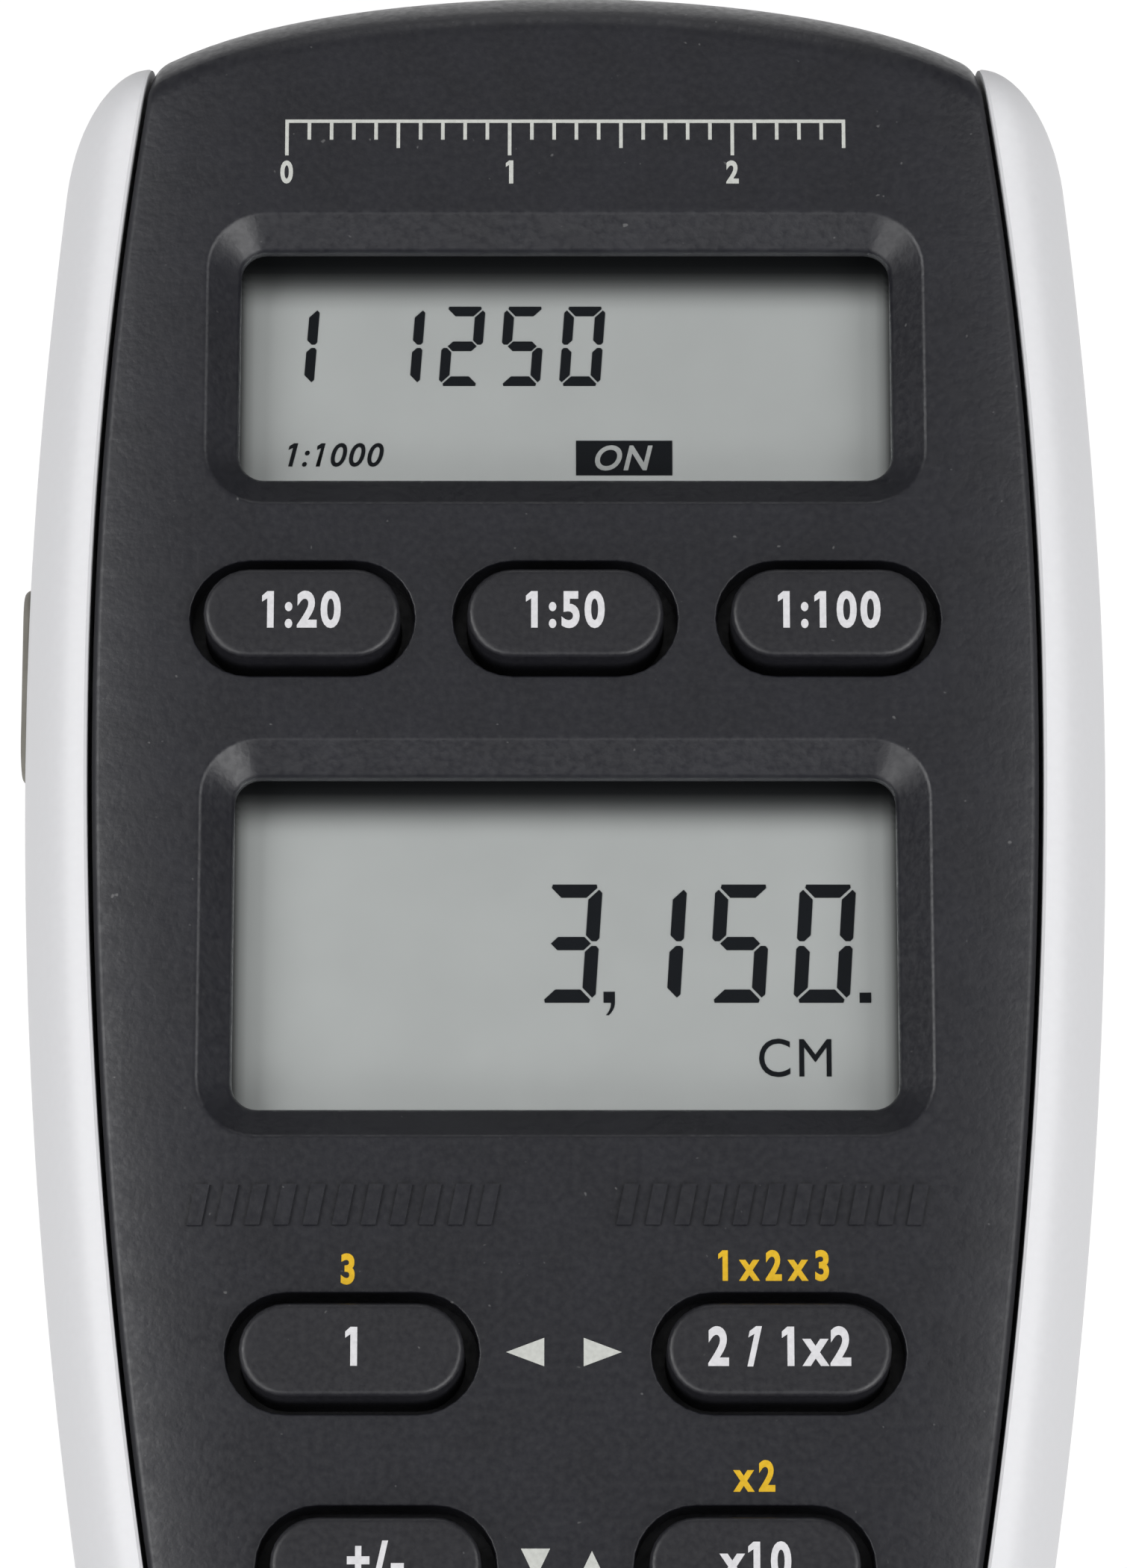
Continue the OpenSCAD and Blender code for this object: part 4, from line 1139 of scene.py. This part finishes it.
def comma(x, y, size):
    """A square dot with a curved tail below its right side."""
    steps = 6
    outer = [(x + size - size * 0.75 * (i / steps) ** 2, y - size * 1.35 * i / steps) for i in range(steps)]
    inner = [(px - size * 0.35 * (1 - 0.3 * i / steps), py) for i, (px, py) in enumerate(outer)]
    return [rectangle(x, y, x + size, y + size), [*outer, *reversed(inner)]]


def lower_display_marks():
    """One group of digits with a comma and a point, and a unit below them."""
    middle_y, ink_z = display_place("lower_display_glass")
    base_y = middle_y - 2.17
    group_x, comma_x, point_x, unit_x = -1.17, 1.68, 12.94, 10.09
    marks = digits("3150", group_x, base_y, **LOWER_DIGITS)
    marks += comma(comma_x, base_y, 0.5)
    marks.append(rectangle(point_x, base_y, point_x + 0.51, base_y + 0.46))
    marks += type_line("CM", unit_x, middle_y - 4.66, height=1.73, narrow=0.9, weight=0)
    marks_piece("lower_display_digits", marks, "display_ink", "body", ink_z, INK_THICKNESS)


# What is printed on each key, and its height; plain numbers and signs
KEY_LEGENDS = {
    "function_key_left": ("1:20", 1.72),
    "function_key_middle": ("1:50", 1.72),
    "function_key_right": ("1:100", 1.72),
    "first_row_key_left": ("1", 1.69),
    "first_row_key_right": ("2 / 1x2", 1.75),
    "second_row_key_left": ("+/-", 1.75),
    "second_row_key_right": ("x10", 1.69),
    "third_row_key_left": ("0", 1.69),
    "third_row_key_right": ("=", 0.9),
}


def key_legend(node):
    text, height = KEY_LEGENDS[node]
    middle = node_middle(node)
    above_middle = 0.1
    top = node_box(node)[1].z - PRINT
    marks = type_line(text, middle.x, middle.y + above_middle, height, space=1.2)
    marks_piece(node + "_legend", marks, "white_print", node, top, PRINT)


def face_marks(name, marks, slot):
    marks_piece(name, marks, slot, "body", FACE_Z, PRINT, face_fall)


def face_prints():
    """Second functions above the keys, small arrow heads between them, and a short ruler at the top."""
    first = node_middle("first_row_key_left")
    second = node_middle("second_row_key_left")
    above = 3.68
    size = 1.37
    marks = type_line("3", first.x - 0.2, first.y + above, size)
    marks += type_line("1x2x3", -first.x - 0.2, first.y + above + 0.15, size, space=1.5)
    marks += type_line("x2", -second.x, second.y + above + 0.25, size, space=1.4)
    face_marks("second_functions", marks, "yellow_print")
    across, along = (1.63, 1.24), (1.24, 1.3)
    arrows = [
        triangle(-1.72, first.y + 0.05, *across, (-1, 0)), triangle(1.6, first.y + 0.05, *across, (1, 0)),
        triangle(-1.27, second.y + 0.15, *along, (0, -1)), triangle(1.13, second.y + 0.05, *along, (0, 1)),
    ]
    face_marks("arrow_heads", arrows, "pale_print")
    face_marks("short_ruler", ruler_marks(), "pale_print")


def ruler_marks():
    """A 25 mm ruler with plain numbers at its whole centimetres."""
    length = 25
    half_line = 0.08
    top_y = TOP_Y - 7.4
    left = -length / 2
    marks = []
    for tick in range(length + 1):
        reach = 1.55 if tick % 10 == 0 else 1.2 if tick % 5 == 0 else 0.8
        x = left + tick
        marks.append(rectangle(x - half_line, top_y - reach, x + half_line, top_y))
    marks.append(rectangle(left - half_line, top_y, -left + half_line, top_y + 2 * half_line))
    for number in range(3):
        marks += type_line(str(number), left + number * 10, top_y - 2.35, height=1.1)
    return marks


def raised_bars():
    """Two groups of slanting bars moulded into the band below the lower display."""
    below_window = 4.1
    low_y = node_box("lower_display_window")[0].y + WINDOW_MARGIN - WINDOW_SLOPE - below_window
    top_y = low_y + 1.8
    width = 0.62
    lean = 0.35
    pitch = 1.25
    count = 11
    buried = 0.05
    thickness = 0.2
    marks = []
    for start in (-16.3, 2.2):
        for i in range(count):
            x = start + i * pitch
            end = x + width
            marks.append([(x, low_y), (end, low_y), (end + lean, top_y), (x + lean, top_y)])
    marks_piece("raised_bars", marks, "charcoal_plastic", "body", FACE_Z - buried, thickness, face_fall)


# Wheel and battery door

def tyre():
    """The wheel's rubber tyre, with fine grooves all round."""
    low, high = node_box("wheel_tyre")
    radius = (high.x - low.x) / 2
    thickness = 1.4
    inner = radius - thickness
    edge_round = 0.4
    groove = 0.12
    grooves = 72
    steps = grooves * 4
    profile = softened([
        (inner, low.z, 0), (radius, low.z, edge_round), (radius, high.z, edge_round), (inner, high.z, 0),
    ], 5)

    def outline(reach):
        points = circle(reach, steps)
        if reach > radius - 0.05:
            points[::4] = [(x * (1 - groove / reach), y * (1 - groove / reach)) for x, y in points[::4]]
        return points

    skin = Skin()
    loops = skin.stack(outline, WHEEL_MIDDLE, profile)
    skin.band(loops[-1], loops[0])
    dress(skin.to_object("tyre"), "tyre_rubber", "measuring_wheel", ["wheel_tyre"], 50)


def door():
    """The battery door: a disc with a soft edge and a coin slot, a cup for the cell, and three lugs."""
    low, high = node_box("battery_door")
    radius = (high.x - low.x) / 2
    thickness = 1.2
    edge_round = 0.25
    brim = 1
    cup_wall = 1
    cup_outer = radius - brim
    cup = cup_outer - cup_wall
    slot_width = 1.6
    slot_depth = 0.6
    slot_round = 0.15
    slot_ring = 0.3
    skin = Skin()
    loops = skin.stack(door_circle, DOOR_MIDDLE, softened([
        (cup_outer, 0, 0), (radius, 0, edge_round), (radius, thickness, 0), (cup_outer, thickness, 0),
        (cup_outer, high.z, 0.1), (cup, high.z, 0), (cup, thickness, 0),
    ]))
    skin.lid(loops[-1])
    slot = skin.stack(grown_stadium(radius, slot_width), DOOR_MIDDLE, softened([
        (slot_ring, 0, 0), (0, 0, slot_round), (0, slot_depth, 0),
    ]))
    skin.lid(slot[-1])
    skin.flat(loops[0], [slot[0]], 0, spacing=1.5)
    obj = skin.to_object("door_cap")
    carve(obj, [door_lug(120 * i, radius) for i in range(3)], "UNION")
    dress(obj, "charcoal_plastic", "battery_door", ["battery_door"])


def door_lug(turn, radius):
    """A lug on the cup of the battery door, about a direction in degrees."""
    reach = radius - 0.1
    root = radius - 1.6
    half_angle = 11
    low_z = 1.9
    high_z = 2.6
    angles = [radians(turn + half_angle * (i / 3 - 1)) for i in range(7)]
    outline = [(reach * cos(a), reach * sin(a)) for a in angles]
    outline += [(root * cos(a), root * sin(a)) for a in reversed(angles)]
    return prism(shifted(outline, DOOR_MIDDLE.x, DOOR_MIDDLE.y), low_z, high_z)


# Stage

FLOOR_GLOW = 0.85
WORLD_LIGHT = 0.1


def floor():
    """A wide pale floor: white to the camera and to gloss, and it keeps the object's shadow."""
    width = 6000
    skin = Skin()
    low_z = cad_low.z / MM - 0.02
    outline = rounded_rect(width, width, radius=200, arc_steps=6, long_steps=1, short_steps=1)
    skin.lid(skin.loop(outline, low_z))
    obj = skin.to_object("floor")
    material = bpy.data.materials.new("pale_floor")
    material.use_nodes = True
    nodes = material.node_tree.nodes
    links = material.node_tree.links
    shader = nodes["Principled BSDF"]
    shader.inputs["Base Color"].default_value = (0.25, 0.25, 0.25, 1)
    shader.inputs["Roughness"].default_value = 0.9
    shader.inputs["Specular IOR Level"].default_value = 0.1
    path = nodes.new("ShaderNodeLightPath")
    seen = path.outputs["Is Camera Ray"]
    for ray in ("Is Glossy Ray", "Is Transmission Ray"):
        either = nodes.new("ShaderNodeMath")
        either.operation = "MAXIMUM"
        links.new(seen, either.inputs[0])
        links.new(path.outputs[ray], either.inputs[1])
        seen = either.outputs[0]
    glow = nodes.new("ShaderNodeMath")
    glow.operation = "MULTIPLY"
    links.new(seen, glow.inputs[0])
    glow.inputs[1].default_value = FLOOR_GLOW
    shader.inputs["Emission Color"].default_value = (1, 1, 1, 1)
    links.new(glow.outputs[0], shader.inputs["Emission Strength"])
    obj.data.materials.append(material)


def world():
    """An even pale room, white behind the floor."""
    sky = bpy.data.worlds.new("room")
    sky.use_nodes = True
    bpy.context.scene.world = sky
    nodes = sky.node_tree.nodes
    links = sky.node_tree.links
    back = nodes["Background"]
    back.inputs["Color"].default_value = (1, 1, 1, 1)
    path = nodes.new("ShaderNodeLightPath")
    mix = nodes.new("ShaderNodeMapRange")
    mix.inputs["To Min"].default_value = WORLD_LIGHT
    mix.inputs["To Max"].default_value = 1
    links.new(path.outputs["Is Camera Ray"], mix.inputs["Value"])
    links.new(mix.outputs["Result"], back.inputs["Strength"])


def softbox(name, azimuth, elevation, power, size):
    """A square area lamp aimed at the object; azimuth 0 is on the -Y side and 90 on the +X side."""
    distance = 1200
    data = bpy.data.lights.new(name + "_softbox", "AREA")
    data.energy = power
    data.size = size * MM
    lamp = in_scene(data.name, data)
    a, e = radians(azimuth), radians(elevation)
    aim = Vector((0, 30, 10)) * MM
    away = Vector((sin(a) * cos(e), -cos(a) * cos(e), sin(e)))
    lamp.location = aim + away * distance * MM
    lamp.rotation_euler = away.to_track_quat("Z", "Y").to_euler()


def camera():
    """The photograph's view: from 16 degrees below the face's normal, at about 320 mm."""
    data = bpy.data.cameras.new("camera")
    data.lens = 167.86
    data.clip_start = 0.01
    obj = in_scene("camera", data)
    obj.location = Vector((-0.08, -35.0, 323.6)) * MM
    obj.rotation_euler = (radians(16), 0, 0)
    bpy.context.scene.camera = obj


bpy.context.scene.view_settings.view_transform = "Standard"
camera()
world()
floor()
softbox("front_left", -45, 32, 7.1, 1000)
softbox("front_right", 45, 32, 10.2, 1000)
softbox("left", -100, 50, 5.7, 700)
softbox("right", 100, 50, 3.7, 700)
softbox("top", 180, 68, 0.2, 600)
softbox("upper_back", 180, 30, 0.45, 300)
softbox("lower_back", 180, 14, 0.3, 500)

front_shell()
rear_shell()
rail("left_rail", -1)
rail("right_rail", 1)
side_button()
for key_node in KEYS:
    key_piece(key_node)
    key_legend(key_node)
display_cell("upper_display_glass")
display_cell("lower_display_glass")
upper_display_marks()
lower_display_marks()
face_prints()
raised_bars()
tyre()
door()

for subpart in frame["record"]["subparts"]:
    cad_mesh = frame["nodes"][subpart["node"]].data
    cad_mesh.materials.clear()
    cad_mesh.materials.append(MATERIALS[subpart["material_slot"]])
